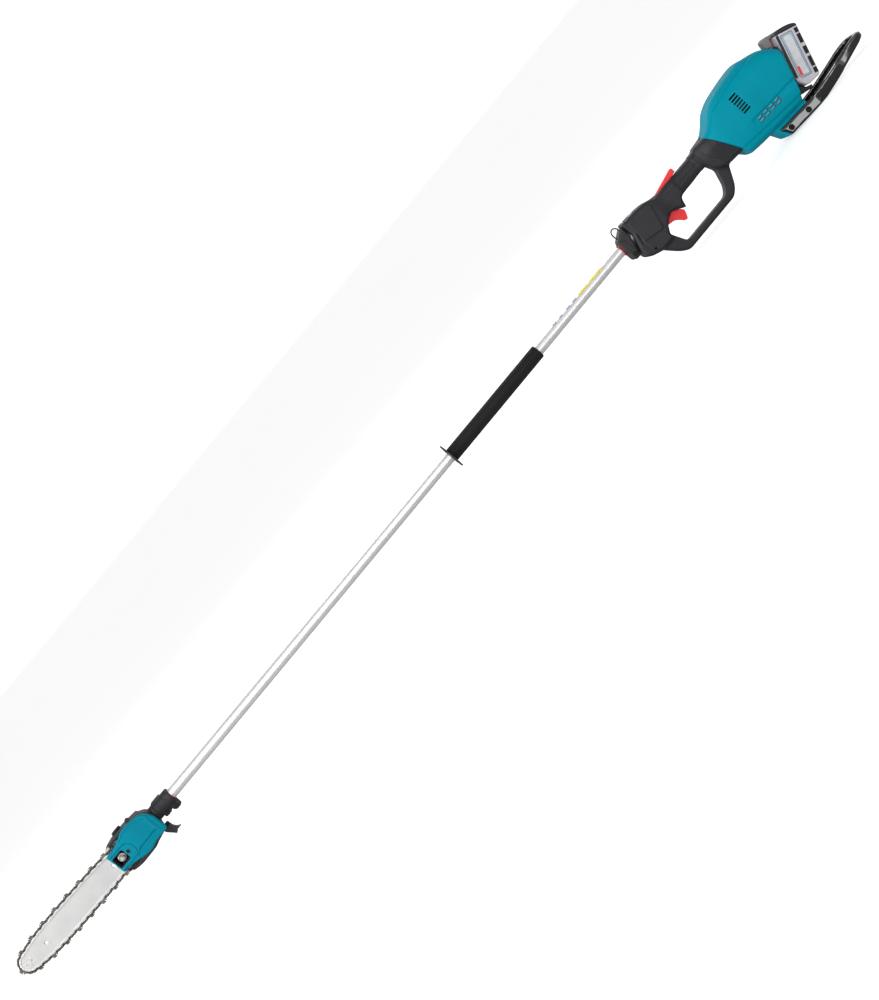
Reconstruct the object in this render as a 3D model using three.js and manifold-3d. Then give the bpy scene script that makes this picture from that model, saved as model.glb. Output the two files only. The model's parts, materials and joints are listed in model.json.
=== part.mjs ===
// A battery pole saw: a guide bar and chain on a gear head, a long tube with the drive shaft inside,
// and at the other end the handle, the motor housing, a rear hoop and the battery.
// Millimetres. +X runs along the pole from the saw to the battery, +Z is up, the left side faces -Y.
// Pieces are laid out with the pole's axis at y = 0, z = 0; the last lines move the origin to the
// middle of the bottom of the whole object.
import * as THREE from "three";
import { mergeVertices } from "three/addons/utils/BufferGeometryUtils.js";
import Module from "manifold-3d";

const wasm = await Module();
wasm.setup();

// ---------------------------------------------------------------- driving dimensions
const GAP = 0.3; // between pieces that touch
const SPLIT = 0.15; // half of the gap between the two halves of a casing

const POLE_RADIUS = 12;
const POLE_WALL = 1.5;
const POLE_FRONT = -100;
const POLE_REAR = 1738;
const BORE = POLE_RADIUS + GAP; // radius of a bore that holds the pole
const SHAFT_RADIUS = 3.5;

const HEAD = {
  sprocketX: -150,
  caseBack: 0,
  plateFront: -15.7, // the wall that the guide bar lies on
  rimFront: -29,
  chamberRadius: 26, // room for the bevel gears
  chamberBack: 22,
  lidThickness: 3.2,
  tankBack: 30,
};
const STUD_RADIUS = 4;
const TENSION = { screwX: -190.7, screwRadius: 3.2, pinX: 14, pinZ: -13, pinRadius: 2.5 };
const OIL_CAP = { x: -188, y: 15, radius: 12.5, neck: 7.6, base: 38.2, top: 42 };
const BAR = {
  studX: -211.5,
  studZ: -2,
  y: -21,
  thickness: 4,
  tilt: THREE.MathUtils.degToRad(1.7),
  noseReach: 301, // stud to the centre of the round nose
  noseRadius: 20,
  tailReach: 36, // stud to the bar's tail
  travel: 6, // how far the bar slides back when its nut is loose
};
const CHAIN = { height: 6.2, thickness: 4.4, pitch: 38.1, clearance: 0.5, leavesBar: -10 };
const SPROCKET = { teeth: 6, tip: 18, root: 12.5, width: 6 };
const BEVEL = { pinionTeeth: 14, gearTeeth: 19, coneDistance: 21, faceWidth: 8 };

const CLAMP = { x0: -104, x1: -50, radius: 18.5 };
const GRIP = { x0: 891.5, x1: 1180, radius: 16.5, ribs: 20, flangeRadius: 32, flangeWidth: 5 };
const HANDLE = { halfWidth: 27, gripX0: 1588, gripX1: 1712, top: 19, bottom: -24, halfGrip: 19 };
const GUARD_HALF_WIDTH = 13;
const PIN_RADIUS = 2; // of the pins that the trigger and the lock-off lever turn on
const TRIGGER = { pivotX: 1571, pivotZ: -23, halfWidth: 5.5 };
const LEVER = { pivotX: 1595, pivotZ: 17, halfWidth: 7 };
const POWER_BUTTON = { x: 1528, radius: 7, top: 37.2 };

const MOTOR = { x0: 1826, x1: 1878, statorRadius: 40, rotorRadius: 21, shaftRadius: 4 };
const HOUSING = { wall: 3, power: 3.6, count: 24, neckOpening: 30 };
const SIDE_VENTS = { count: 7, top: 34, step: 7, x0: 1836, x1: 1856, height: 3.4 };
const LOUVRES = { rows: [-39.5, -47.5], count: 4, x0: 1847, step: 17, length: 13, height: 4, bottom: 54.8 };
const REAR_TILT = THREE.MathUtils.degToRad(22); // how far the battery leans from upright
const REAR_FACE = 1836.5; // distance of the battery face from the origin, along the leaning normal
// low and high are measured up the battery face from the level of the pole's axis at the origin.
const BATTERY = {
  halfWidth: 40,
  thickness: 54,
  low: 667,
  high: 803,
  crown: 5, // how much higher the top is in the middle than at its ends
  gap: 6,
  wall: 3,
  capHeight: 11,
};
const LATCH = { halfWidth: 15, ahead: 24, behind: 7, below: 26, above: -2, room: 4.6 };
const SEAT_FOOT = { low: 657, high: 665.5, depth: 38, halfWidth: 24 };
const HOOP = { armInner: 34, armOuter: 44, bendX: 2088, rearX: 2141 };

// ---------------------------------------------------------------- materials
const finish = (color, roughness, metalness) =>
  new THREE.MeshStandardMaterial({ color, roughness, metalness });
const TEAL = finish(0x069fb6, 0.42, 0);
const BLACK = finish(0x26272a, 0.5, 0);
const RUBBER = finish(0x1b1c1e, 0.8, 0);
const GLOSS_BLACK = finish(0x141416, 0.18, 0);
const RED = finish(0xd8232e, 0.4, 0);
const GREY = finish(0x9a9da1, 0.5, 0);
const ALUMINIUM = finish(0xd9dadb, 0.32, 1);
const STEEL = finish(0xc4c6c8, 0.3, 1);
const DARK_STEEL = finish(0x4a4745, 0.4, 1);
const COPPER = finish(0xb06a3a, 0.4, 1);
const BOARD = finish(0x1f5f3a, 0.6, 0);
const NYLON = finish(0xe8e6df, 0.6, 0);
const CELL_WRAP = finish(0x3f6fa8, 0.4, 0);

// ---------------------------------------------------------------- solids from geometry
function solid(geometry) {
  const plain = geometry.index ? geometry.toNonIndexed() : geometry.clone();
  plain.deleteAttribute("normal");
  plain.deleteAttribute("uv");
  const merged = mergeVertices(plain, 1e-4);
  const vertProperties = new Float32Array(merged.attributes.position.array);
  const triVerts = new Uint32Array(merged.index.array);
  return new wasm.Manifold(new wasm.Mesh({ numProp: 3, vertProperties, triVerts }));
}
const join = (first, ...others) => others.reduce((all, next) => all.add(next), first);
const cut = (first, ...others) => others.reduce((all, next) => all.subtract(next), first);

const root = new THREE.Group();
const barFrame = new THREE.Group(); // leans with the bar: -X towards the nose, origin on the stud
barFrame.position.set(BAR.studX, BAR.y, BAR.studZ);
barFrame.rotation.y = BAR.tilt;
const batteryFrame = new THREE.Group(); // +Z up along the battery face, +X away from the motor
batteryFrame.rotation.y = REAR_TILT;
root.add(barFrame, batteryFrame);

function piece(name, body, material, parent = root) {
  const { vertProperties, triVerts } = body.getMesh();
  const geometry = new THREE.BufferGeometry();
  geometry.setAttribute("position", new THREE.BufferAttribute(vertProperties, 3));
  geometry.setIndex(new THREE.BufferAttribute(triVerts, 1));
  geometry.computeVertexNormals();
  const mesh = new THREE.Mesh(geometry, material);
  mesh.name = name;
  parent.add(mesh);
}

// A closed outline from corners [x, z] or [x, z, fillet radius]. A fillet never takes more than
// its share of an edge, and a corner too tight for the bevel stays sharp.
const EDGE_SHARE = 0.45;
const BEVEL_ROOM = 1.5;
function outline(corners, bevel = 0) {
  const shape = new THREE.Shape();
  corners.forEach(([x, z, asked = 0], i) => {
    const corner = new THREE.Vector2(x, z);
    const before = new THREE.Vector2(...corners.at(i - 1).slice(0, 2)).sub(corner);
    const after = new THREE.Vector2(...corners[(i + 1) % corners.length].slice(0, 2)).sub(corner);
    const most = EDGE_SHARE * Math.min(before.length(), after.length());
    const wanted = asked > 0 ? Math.max(asked, BEVEL_ROOM * bevel) : 0;
    const fitted = Math.min(wanted, most);
    const radius = fitted < BEVEL_ROOM * bevel ? 0 : fitted;
    const start = corner.clone().add(before.setLength(radius));
    if (i === 0) shape.moveTo(start.x, start.y);
    else shape.lineTo(start.x, start.y);
    if (radius > 0) {
      const end = corner.clone().add(after.setLength(radius));
      shape.quadraticCurveTo(corner.x, corner.y, end.x, end.y);
    }
  });
  shape.closePath();
  return shape;
}

// An XZ outline given a thickness from y0 to y1, with edges rounded by bevel.
function slab(shape, y0, y1, { bevel = 0, steps = 2, curveSegments = 3 } = {}) {
  const geometry = new THREE.ExtrudeGeometry(shape, {
    depth: y1 - y0 - 2 * bevel,
    bevelEnabled: bevel > 0,
    bevelThickness: bevel,
    bevelSize: bevel,
    bevelOffset: -bevel,
    bevelSegments: steps,
    curveSegments,
  });
  geometry.rotateX(Math.PI / 2);
  geometry.translate(0, y1 - bevel, 0);
  return solid(geometry);
}
const plate = (corners, y0, y1, options = {}) =>
  slab(outline(corners, options.bevel), y0, y1, options);

// An outline in the XY plane given a height from low to high.
function floorPlan(corners, low, high) {
  const options = { depth: high - low, bevelEnabled: false, curveSegments: 6 };
  return solid(new THREE.ExtrudeGeometry(outline(corners), options).translate(0, 0, low));
}

function box(x0, x1, y0, y1, z0, z1) {
  const geometry = new THREE.BoxGeometry(x1 - x0, y1 - y0, z1 - z0);
  geometry.translate((x0 + x1) / 2, (y0 + y1) / 2, (z0 + z1) / 2);
  return solid(geometry);
}

// Cylinders along each axis; a and b are the ends, then the centre on the other two axes.
function rodX(radius, a, b, y = 0, z = 0, sides = 20) {
  const geometry = new THREE.CylinderGeometry(radius, radius, b - a, sides);
  geometry.rotateZ(Math.PI / 2);
  geometry.translate((a + b) / 2, y, z);
  return solid(geometry);
}
function rodY(radius, a, b, x = 0, z = 0, sides = 24) {
  const geometry = new THREE.CylinderGeometry(radius, radius, b - a, sides);
  geometry.translate(x, (a + b) / 2, z);
  return solid(geometry);
}
function rodZ(radius, a, b, x = 0, y = 0, sides = 20) {
  const geometry = new THREE.CylinderGeometry(radius, radius, b - a, sides);
  geometry.rotateX(Math.PI / 2);
  geometry.translate(x, y, (a + b) / 2);
  return solid(geometry);
}
const ringX = (outer, inner, a, b, sides = 20) =>
  cut(rodX(outer, a, b, 0, 0, sides), rodX(inner, a - 1, b + 1, 0, 0, sides));

// A toothed disc along Y or X: the outline alternates between root and tip, tooth by tooth.
function toothedShape(teeth, rootRadius, tipRadius, scale = 1) {
  const points = [];
  const share = [
    [0.0, rootRadius],
    [0.3, rootRadius],
    [0.42, tipRadius],
    [0.75, tipRadius],
    [0.88, rootRadius],
  ];
  for (let tooth = 0; tooth < teeth; tooth++) {
    for (const [along, radius] of share) {
      const angle = ((tooth + along) / teeth) * 2 * Math.PI;
      const r = radius * scale;
      points.push(new THREE.Vector2(r * Math.cos(angle), r * Math.sin(angle)));
    }
  }
  return points;
}

// A closed skin over rings of points, each ring with the same number of points.
function skin(rings) {
  const count = rings[0].length;
  const positions = rings.flat().flatMap((p) => [p.x, p.y, p.z]);
  const index = [];
  for (let r = 0; r + 1 < rings.length; r++) {
    for (let i = 0; i < count; i++) {
      const a = r * count + i;
      const b = r * count + ((i + 1) % count);
      index.push(a, b, a + count, b, b + count, a + count);
    }
  }
  for (const [ring, start] of [[rings[0], 0], [rings.at(-1), (rings.length - 1) * count]]) {
    const middle = new THREE.Vector3();
    ring.forEach((p) => middle.addScaledVector(p, 1 / count));
    positions.push(middle.x, middle.y, middle.z);
    const centre = positions.length / 3 - 1;
    for (let i = 0; i < count; i++) {
      const a = start + i;
      const b = start + ((i + 1) % count);
      if (start === 0) index.push(centre, b, a);
      else index.push(centre, a, b);
    }
  }
  const geometry = new THREE.BufferGeometry();
  geometry.setAttribute("position", new THREE.Float32BufferAttribute(positions, 3));
  geometry.setIndex(index);
  return solid(geometry);
}

// A body lofted along X from stations [x, top, bottom, half width]; a higher power is squarer.
function loft(stations, { power = 3, count = 20, inset = 0 } = {}) {
  const rings = stations.map(([x, top, bottom, half]) => {
    const ring = [];
    for (let i = 0; i < count; i++) {
      const angle = (i / count) * 2 * Math.PI;
      const c = Math.cos(angle);
      const s = Math.sin(angle);
      const y = Math.sign(c) * Math.abs(c) ** (2 / power) * (half - inset);
      const z = Math.sign(s) * Math.abs(s) ** (2 / power) * ((top - bottom) / 2 - inset);
      ring.push(new THREE.Vector3(x, y, (top + bottom) / 2 + z));
    }
    return ring;
  });
  return skin(rings);
}

// Left and right halves of a casing, parted on the plane y = 0.
const FAR = 4000;
const leftHalf = (body) => body.intersect(box(-FAR, FAR, -FAR, -SPLIT, -FAR, FAR));
const rightHalf = (body) => body.intersect(box(-FAR, FAR, SPLIT, FAR, -FAR, FAR));

// ---------------------------------------------------------------- guide bar and chain
// The bar's half width at distances from the stud towards the nose.
const barEdge = new THREE.SplineCurve(
  [
    [-BAR.tailReach, 12],
    [-24, 17],
    [0, 21.5],
    [26, 26.2],
    [80, 28],
    [170, 29],
    [240, 27.5],
    [275, 24],
    [BAR.noseReach, BAR.noseRadius],
  ].map(([reach, half]) => new THREE.Vector2(reach, half)),
).getPoints(18);

// The bar's edge as a loop, tail to nose along the top and back along the bottom.
function barLoop() {
  const top = barEdge.map((p) => new THREE.Vector2(-p.x, p.y));
  const nose = [];
  for (let i = 1; i < 10; i++) {
    const angle = Math.PI / 2 - (i / 10) * Math.PI;
    const reach = BAR.noseReach + BAR.noseRadius * Math.cos(angle);
    nose.push(new THREE.Vector2(-reach, BAR.noseRadius * Math.sin(angle)));
  }
  const bottom = top.map((p) => new THREE.Vector2(p.x, -p.y)).reverse();
  return [...top, ...nose, ...bottom];
}

// A point of the head, seen in the bar's leaning frame.
function inBarFrame(x, z) {
  const point = new THREE.Vector2(x - BAR.studX, z - BAR.studZ);
  return point.rotateAround(new THREE.Vector2(), BAR.tilt);
}

// The inner edge of the chain: along the bar, round its nose, and round the drive sprocket.
function chainLoop() {
  const centre = inBarFrame(HEAD.sprocketX, 0);
  const radius = SPROCKET.tip + CHAIN.clearance;
  const onBar = offsetLoop(barLoop(), CHAIN.clearance).filter((p) => p.x < CHAIN.leavesBar);
  const wrap = [];
  for (let i = 0; i <= 12; i++) {
    const angle = -Math.PI / 2 - 0.15 + (i / 12) * (Math.PI + 0.3);
    wrap.push(new THREE.Vector2(Math.cos(angle), Math.sin(angle)).multiplyScalar(radius).add(centre));
  }
  return onBar.concat(wrap);
}

// Moves each point of a loop outwards, square to the line between its neighbours.
function offsetLoop(points, distance) {
  return points.map((p, i) => {
    const along = points[(i + 1) % points.length].clone().sub(points.at(i - 1)).normalize();
    return p.clone().add(new THREE.Vector2(-along.y, along.x).multiplyScalar(-distance * turn(points)));
  });
}
const turn = (points) => Math.sign(THREE.ShapeUtils.area(points));

const shapeOf = (points) => new THREE.Shape(points);
const HALF_BAR = BAR.thickness / 2;

function guideBar() {
  const body = slab(shapeOf(barLoop()), -HALF_BAR, HALF_BAR);
  const slot = join(
    box(-28, 27, -5, 5, -4.4, 4.4),
    rodY(4.4, -5, 5, -28, 0, 12),
    rodY(4.4, -5, 5, 27, 0, 12),
  );
  const pinHole = rodY(TENSION.pinRadius + GAP, -5, 5, TENSION.pinX, TENSION.pinZ, 12);
  const lighteningHole = rodY(3, -5, 5, -246, 0, 12);
  const nose = -BAR.noseReach;
  const noseSlot = join(
    rodY(20.5, -1, 1, nose, 0, 24),
    box(nose - 30, nose, -1, 1, -30, 30),
  );
  const hub = rodY(5, -1.2, 1.2, nose, 0, 16);
  return cut(body, slot, pinHole, lighteningHole, cut(noseSlot, hub));
}

function noseSprocket() {
  const disc = slab(shapeOf(toothedShape(9, 15.5, 19)), -0.7, 0.7);
  return cut(disc, rodY(5 + GAP, -2, 2, 0, 0, 16)).translate([-BAR.noseReach, 0, 0]);
}

// Each cutter has a low depth gauge ahead of its tooth; teeth alternate between the two sides.
function sawChain() {
  const inner = chainLoop();
  const outer = offsetLoop(inner, CHAIN.height);
  const half = CHAIN.thickness / 2;
  const band = cut(slab(shapeOf(outer), -half, half), slab(shapeOf(inner), -half - 1, half + 1));
  const path = new THREE.CurvePath();
  inner.forEach((p, i) => path.add(new THREE.LineCurve(p, inner[(i + 1) % inner.length])));
  const length = path.getLength();
  const cutters = Math.round(length / CHAIN.pitch);
  const teeth = [];
  for (let i = 0; i < cutters; i++) {
    const side = i % 2 ? 1 : -1;
    for (const [start, long, tall] of [[0, 5, 2], [8, 9, 3.2]]) {
      const at = ((i * length) / cutters + start + long / 2) / length;
      const place = path.getPointAt(at % 1);
      const along = path.getTangentAt(at % 1);
      const away = new THREE.Vector2(-along.y, along.x).multiplyScalar(-turn(inner));
      const bump = box(-long / 2, long / 2, -1.2, 1.2, -1, tall);
      const angle = THREE.MathUtils.radToDeg(Math.atan2(along.y, along.x));
      const flip = away.dot(new THREE.Vector2(-along.y, along.x)) < 0 ? -1 : 1;
      const raised = place.clone().addScaledVector(away, CHAIN.height);
      teeth.push(
        (flip < 0 ? bump.mirror([0, 0, 1]) : bump)
          .translate([0, side * 1.9, 0])
          .rotate([0, -angle, 0])
          .translate([raised.x, 0, raised.y]),
      );
    }
  }
  return join(band, ...teeth);
}

piece("guide_bar", guideBar(), STEEL, barFrame);
piece("nose_sprocket", noseSprocket(), DARK_STEEL, barFrame);
piece("saw_chain", sawChain(), DARK_STEEL, barFrame);
const tensionPin = rodY(TENSION.pinRadius, -3.6, 9.5, TENSION.pinX, TENSION.pinZ, 12);
piece("tension_pin", tensionPin, STEEL, barFrame);

// ---------------------------------------------------------------- gear head
const CASE_CORNERS = [
  [-234, 20],
  [-231, 32, 5],
  [-205, 38, 10],
  [-160, 38, 10],
  [-120, 32, 10],
  [-106, 22, 6],
  [-104.6, -20, 4],
  [-110, -36, 5],
  [-138, -41, 4],
  [-150, -45, 8],
  [-200, -46, 12],
  [-234, -36, 4],
];
const SPROCKET_HUB = 5;
const BEARING = { radius: 9.5, front: -12, back: -5 };

// A point of the bar's leaning frame, seen in the head.
function onHead(x, z) {
  const point = new THREE.Vector2(x, z).rotateAround(new THREE.Vector2(), -BAR.tilt);
  return [point.x + BAR.studX, point.y + BAR.studZ];
}
const [pinX, pinZ] = onHead(TENSION.pinX, TENSION.pinZ);

// The room that the chain needs while the bar slides back.
function chainRoom(y0, y1) {
  const room = slab(shapeOf(offsetLoop(chainLoop(), CHAIN.height + 6)), y0, y1);
  const placed = room.rotate([0, THREE.MathUtils.radToDeg(BAR.tilt), 0]);
  const atRest = placed.translate([BAR.studX, 0, BAR.studZ]);
  return join(atRest, atRest.translate([BAR.travel, 0, 0]));
}

function gearCase() {
  const { sprocketX: x, caseBack, plateFront, rimFront, chamberRadius, chamberBack } = HEAD;
  const whole = plate(CASE_CORNERS, rimFront, caseBack);
  const chamber = rodY(chamberRadius, plateFront, chamberBack, x, 0, 32);
  const socket = rodX(CLAMP.radius, x, POLE_FRONT - 5, 0, 0, 28);
  const lug = rodY(5, -13, -4, x, 38.5, 16);
  const padCorners = [[-224, 12, 3], [-182, 12, 3], [-182, -18, 3], [-224, -18, 3]];
  const pad = plate(padCorners, BAR.y + HALF_BAR + GAP, -15);
  const hollowed = cut(join(whole, socket), chainRoom(rimFront - 1, plateFront));
  const pinTravel = box(pinX - 3.6, pinX + BAR.travel + 3.6, -20, -9, pinZ - 3.2, pinZ + 3.3);
  return cut(
    join(hollowed, chamber, lug, pad),
    rodY(chamberRadius - 5, -4, chamberBack + 1, x, 0, 32),
    rodY(BEARING.radius + GAP, BEARING.front - GAP, -3, x, 0, 20),
    rodY(SPROCKET_HUB + GAP, plateFront - 1, BEARING.front, x, 0, 16),
    rodX(POLE_RADIUS + POLE_WALL, x, POLE_FRONT - 4, 0, 0, 24),
    rodY(STUD_RADIUS + GAP, -20, 1, BAR.studX, BAR.studZ, 16),
    rodY(TENSION.screwRadius + GAP, -20, -6, TENSION.screwX, BAR.studZ, 16),
    pinTravel,
  );
}

function oilTank() {
  const front = HEAD.caseBack + GAP;
  const corners = [
    [-236, 20],
    [-232, 33, 5],
    [-205, 37.5, 8],
    [-165, 37.5, 4],
    [-130, 33.5, 2],
    [-130, 27.5],
    [-177.5, 27.5, 1],
    [-177.5, -44.5, 3],
    [-200, -45.5, 12],
    [-236, -35, 4],
  ];
  const hollow = [
    [-233, 20],
    [-229, 30.5, 4],
    [-204, 34.5, 6],
    [-168, 34.5, 2],
    [-168, 30.5],
    [-180.5, 30.5],
    [-180.5, -41.5],
    [-198, -42.5, 8],
    [-233, -33, 3],
  ];
  return cut(
    plate(corners, front, HEAD.tankBack, { bevel: 2 }),
    plate(hollow, front + 2.5, HEAD.tankBack - 2.5),
    rodZ(OIL_CAP.neck + 0.4, 30, 40, OIL_CAP.x, OIL_CAP.y, 20),
    rodY(STUD_RADIUS + GAP, -1, 3, BAR.studX, BAR.studZ, 12),
  );
}

const COVER_CORNERS = [
  [-233, 24, 3],
  [-203, 25, 6],
  [-172, 36, 10],
  [-155, 38, 10],
  [-116, 31, 8],
  [-100, 8, 10],
  [-100, -26, 6],
  [-105, -35, 4],
  [-138, -35, 5],
  [-155, -40, 12],
  [-176, -37, 8],
  [-204, -27.5, 6],
  [-233, -25.5, 3],
];
// The recessed field of the cover's face, open towards the bar.
const COVER_PANEL = [
  [-250, 17.6],
  [-187, 17.6, 4],
  [-176, 10.6, 4],
  [-172.5, 0, 6],
  [-173.5, -14.5, 5],
  [-180, -25, 4],
  [-250, -25.4],
];
const COVER = { back: -29.3, front: -43, wall: 3, recess: 1.5, pocketFloor: -32 };

function sprocketCover() {
  const { back, front, wall, recess, pocketFloor } = COVER;
  const middleX = -166;
  const inner = COVER_CORNERS.map(([x, z, r]) => [
    (x - middleX) * 0.93 + middleX,
    z * 0.9,
    Math.max(r - 1, 1),
  ]);
  const outside = plate(COVER_CORNERS, front, back, { bevel: 3 });
  const panel = plate(COVER_PANEL, front - 1, front + recess);
  const shell = cut(outside, plate(inner, front + wall, back + 1), panel);
  const bossCorners = [[-231, 14, 4], [-180, 14, 4], [-180, -18, 4], [-231, -18, 4]];
  const boss = plate(bossCorners, front + 2, BAR.y - HALF_BAR - GAP);
  const pocketCorners = [[-229, 12, 4], [-197.5, 12, 4], [-197.5, -16, 4], [-229, -16, 4]];
  const pocket = plate(pocketCorners, front - 1, pocketFloor);
  const ribCorners = [[-117.5, 15, 1], [-113, 15, 1], [-113, -16.5, 1], [-117.5, -16.5, 1]];
  const rib = plate(ribCorners, front - 0.8, front + 1);
  const pinSlotHalf = TENSION.pinRadius + 0.7;
  const pinSlot = join(
    rodY(pinSlotHalf, BAR.y - 9, 0, pinX, pinZ, 12),
    rodY(pinSlotHalf, BAR.y - 9, 0, pinX + BAR.travel, pinZ, 12),
    box(pinX, pinX + BAR.travel, BAR.y - 9, 0, pinZ - pinSlotHalf, pinZ + pinSlotHalf),
  );
  return cut(
    join(shell, boss.intersect(plate(COVER_CORNERS, front + 1, 0)), rib),
    pocket,
    rodY(STUD_RADIUS + GAP, front - 1, 0, BAR.studX, BAR.studZ, 16),
    rodY(4.3, front - 1, 0, TENSION.screwX, BAR.studZ, 16),
    pinSlot,
  );
}

function barNut() {
  const seat = COVER.pocketFloor - GAP;
  const flange = rodY(9.8, seat - 1.9, seat, BAR.studX, BAR.studZ, 24);
  const hex = rodY(7.5, seat - 8.2, seat - 1.9, BAR.studX, BAR.studZ, 6);
  return cut(join(flange, hex), rodY(STUD_RADIUS + GAP, -42, -30, BAR.studX, BAR.studZ, 16));
}

function branchHook() {
  const blade = [
    [-120, -41.6],
    [-106, -63.5, 1],
    [-102, -62, 1],
    [-99.5, -58.8, 1],
    [-85.4, -59, 1],
    [-94, -53.5, 3],
    [-99, -46, 4],
    [-100.5, -37],
    [-106.5, -36.5],
    [-109, -37.2],
  ];
  const tab = [[-121, -41.6], [-100, -42], [-100, -30, 3], [-121, -30, 3]];
  return join(plate(blade, -9, 5), plate(tab, GAP, 5));
}

// Steel plate between bar and case; its ears curl forward past the chain as a chain catcher.
function guidePlate() {
  const sheet = plate([[-226, 13, 3], [-226, -20, 3], [-224.6, -20, 1], [-224.6, 13, 1]], -18.4, -16);
  const ears = [1, -1].map((side) =>
    plate(
      [[-226, side * 12], [-216, side * 33 + 1, 3], [-228, side * 33 + 1, 3], [-229, side * 12]],
      -17.6,
      -16,
    ),
  );
  return join(sheet, ...ears);
}

// A steel socket screw through a lug: head on the left, shank towards +Y.
function screwY(x, z, radius, head, tail) {
  const cap = rodY(radius * 1.6, head - radius * 1.4, head, x, z, 18);
  const socket = rodY(radius * 0.7, head - 9, head - 1, x, z, 6);
  return join(rodY(radius, head - 0.5, tail, x, z, 12), cut(cap, socket));
}

function gearCaseLid() {
  const seat = HEAD.chamberBack + GAP;
  return rodY(HEAD.chamberRadius - 0.5, seat, seat + HEAD.lidThickness, HEAD.sprocketX, 0, 32);
}

function oilCap() {
  const { x, y, radius, neck, base, top } = OIL_CAP;
  const wing = box(x - 10, x + 10, y - 1.5, y + 1.5, top - 1, top + 1.4);
  return join(rodZ(radius, base, top, x, y, 24), rodZ(neck, base - 5.2, base, x, y, 20), wing);
}

function tensionScrew() {
  const { screwX, screwRadius } = TENSION;
  const slot = box(screwX - 4, screwX + 4, -34, -31.5, BAR.studZ - 0.5, BAR.studZ + 0.5);
  return cut(rodY(screwRadius, -33, -7, screwX, BAR.studZ, 16), slot);
}

piece("gear_case", gearCase(), BLACK);
piece("gear_case_lid", gearCaseLid(), BLACK);
piece("oil_tank", oilTank(), BLACK);
piece("oil_cap", oilCap(), RUBBER);
piece("sprocket_cover", sprocketCover(), TEAL);
piece("bar_stud", rodY(STUD_RADIUS, -42.4, 2.4, BAR.studX, BAR.studZ, 16), STEEL);
piece("bar_nut", barNut(), STEEL);
piece("chain_tension_screw", tensionScrew(), DARK_STEEL);
piece("guide_plate", guidePlate(), STEEL);
piece("branch_hook", branchHook(), BLACK);

// ---------------------------------------------------------------- sprocket, shafts and gears
function bevelWheel(teeth, pitchRadius, smallEnd, largeEnd, bore) {
  const ratio = smallEnd / largeEnd;
  const rings = [
    [ratio, smallEnd],
    [1, largeEnd],
  ].map(([scale, height]) =>
    toothedShape(teeth, pitchRadius - 1.6, pitchRadius - 0.5, scale).map(
      (p) => new THREE.Vector3(p.x, height, p.y),
    ),
  );
  return cut(skin(rings.reverse()), rodY(bore, 0, 40, 0, 0, 12));
}
const pitchAngle = Math.atan2(BEVEL.pinionTeeth, BEVEL.gearTeeth);
const innerCone = BEVEL.coneDistance - BEVEL.faceWidth;
const gearRadius = BEVEL.coneDistance * Math.cos(pitchAngle);
const pinionRadius = BEVEL.coneDistance * Math.sin(pitchAngle);
const bevelGear = bevelWheel(
  BEVEL.gearTeeth,
  gearRadius,
  innerCone * Math.sin(pitchAngle),
  pinionRadius,
  SPROCKET_HUB + GAP,
);
const bevelPinion = bevelWheel(
  BEVEL.pinionTeeth,
  pinionRadius,
  innerCone * Math.cos(pitchAngle),
  gearRadius,
  SHAFT_RADIUS + GAP,
);
const crownAt = [HEAD.sprocketX, 0, 0];
piece("bevel_gear", bevelGear.translate(crownAt), STEEL);
piece("bevel_pinion", bevelPinion.rotate([0, 0, -90]).translate(crownAt), STEEL);

const sprocketBody = slab(
  shapeOf(toothedShape(SPROCKET.teeth, SPROCKET.root, SPROCKET.tip)),
  BAR.y - SPROCKET.width / 2,
  BAR.y + SPROCKET.width / 2,
);
const hubBore = rodY(SPROCKET_HUB + GAP, -40, 0, 0, 0, 16);
const bearingRing = cut(rodY(BEARING.radius, BEARING.front, BEARING.back, 0, 0, 20), hubBore);
piece("drive_sprocket", cut(sprocketBody, hubBore).translate(crownAt), STEEL);
piece("sprocket_shaft", rodY(SPROCKET_HUB, -27, 20, HEAD.sprocketX, 0, 16), STEEL);
piece("sprocket_bearing", bearingRing.translate(crownAt), STEEL);

// ---------------------------------------------------------------- pole
const CLAMP_SCREWS = [
  { name: "front", x: -82, z: -20, radius: 2.5 },
  { name: "rear", x: -60, z: -23, radius: 3 },
];

function poleClamp() {
  const sleeve = rodX(CLAMP.radius, CLAMP.x0, CLAMP.x1, 0, 0, 28);
  const topBoss = plate([[-93, 0], [-93, 21, 3], [-68, 21, 3], [-68, 0]], -9, 9, { bevel: 1.5 });
  const lugs = join(
    plate([[-70, -5], [-70, -24, 4], [-65, -30, 4], [-51, -30, 4], [-50, -24, 3], [-50, -5]], -10, 10),
    plate([[-92, -5], [-92, -24, 4], [-73, -24, 4], [-73, -5]], -10, 10),
  );
  return cut(
    join(sleeve, topBoss, lugs),
    rodX(BORE, CLAMP.x0 - 1, CLAMP.x1 + 1),
    box(CLAMP.x0 - 1, CLAMP.x1 + 1, -1, 1, -40, -5),
    ...CLAMP_SCREWS.map(({ x, z, radius }) => rodY(radius + GAP, -30, 30, x, z, 12)),
  );
}

function ribbedSleeve() {
  const points = [];
  const share = [
    [0, GRIP.radius],
    [0.6, GRIP.radius],
    [0.7, GRIP.radius - 1],
    [0.9, GRIP.radius - 1],
  ];
  for (let rib = 0; rib < GRIP.ribs; rib++) {
    for (const [along, radius] of share) {
      const angle = ((rib + along) / GRIP.ribs) * 2 * Math.PI;
      points.push(new THREE.Vector2(radius * Math.cos(angle), radius * Math.sin(angle)));
    }
  }
  const depth = GRIP.x1 - GRIP.x0;
  const geometry = new THREE.ExtrudeGeometry(shapeOf(points), { depth, bevelEnabled: false });
  geometry.rotateY(Math.PI / 2);
  geometry.translate(GRIP.x0, 0, 0);
  return cut(solid(geometry), rodX(BORE, GRIP.x0 - 1, GRIP.x1 + 1));
}

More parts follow.
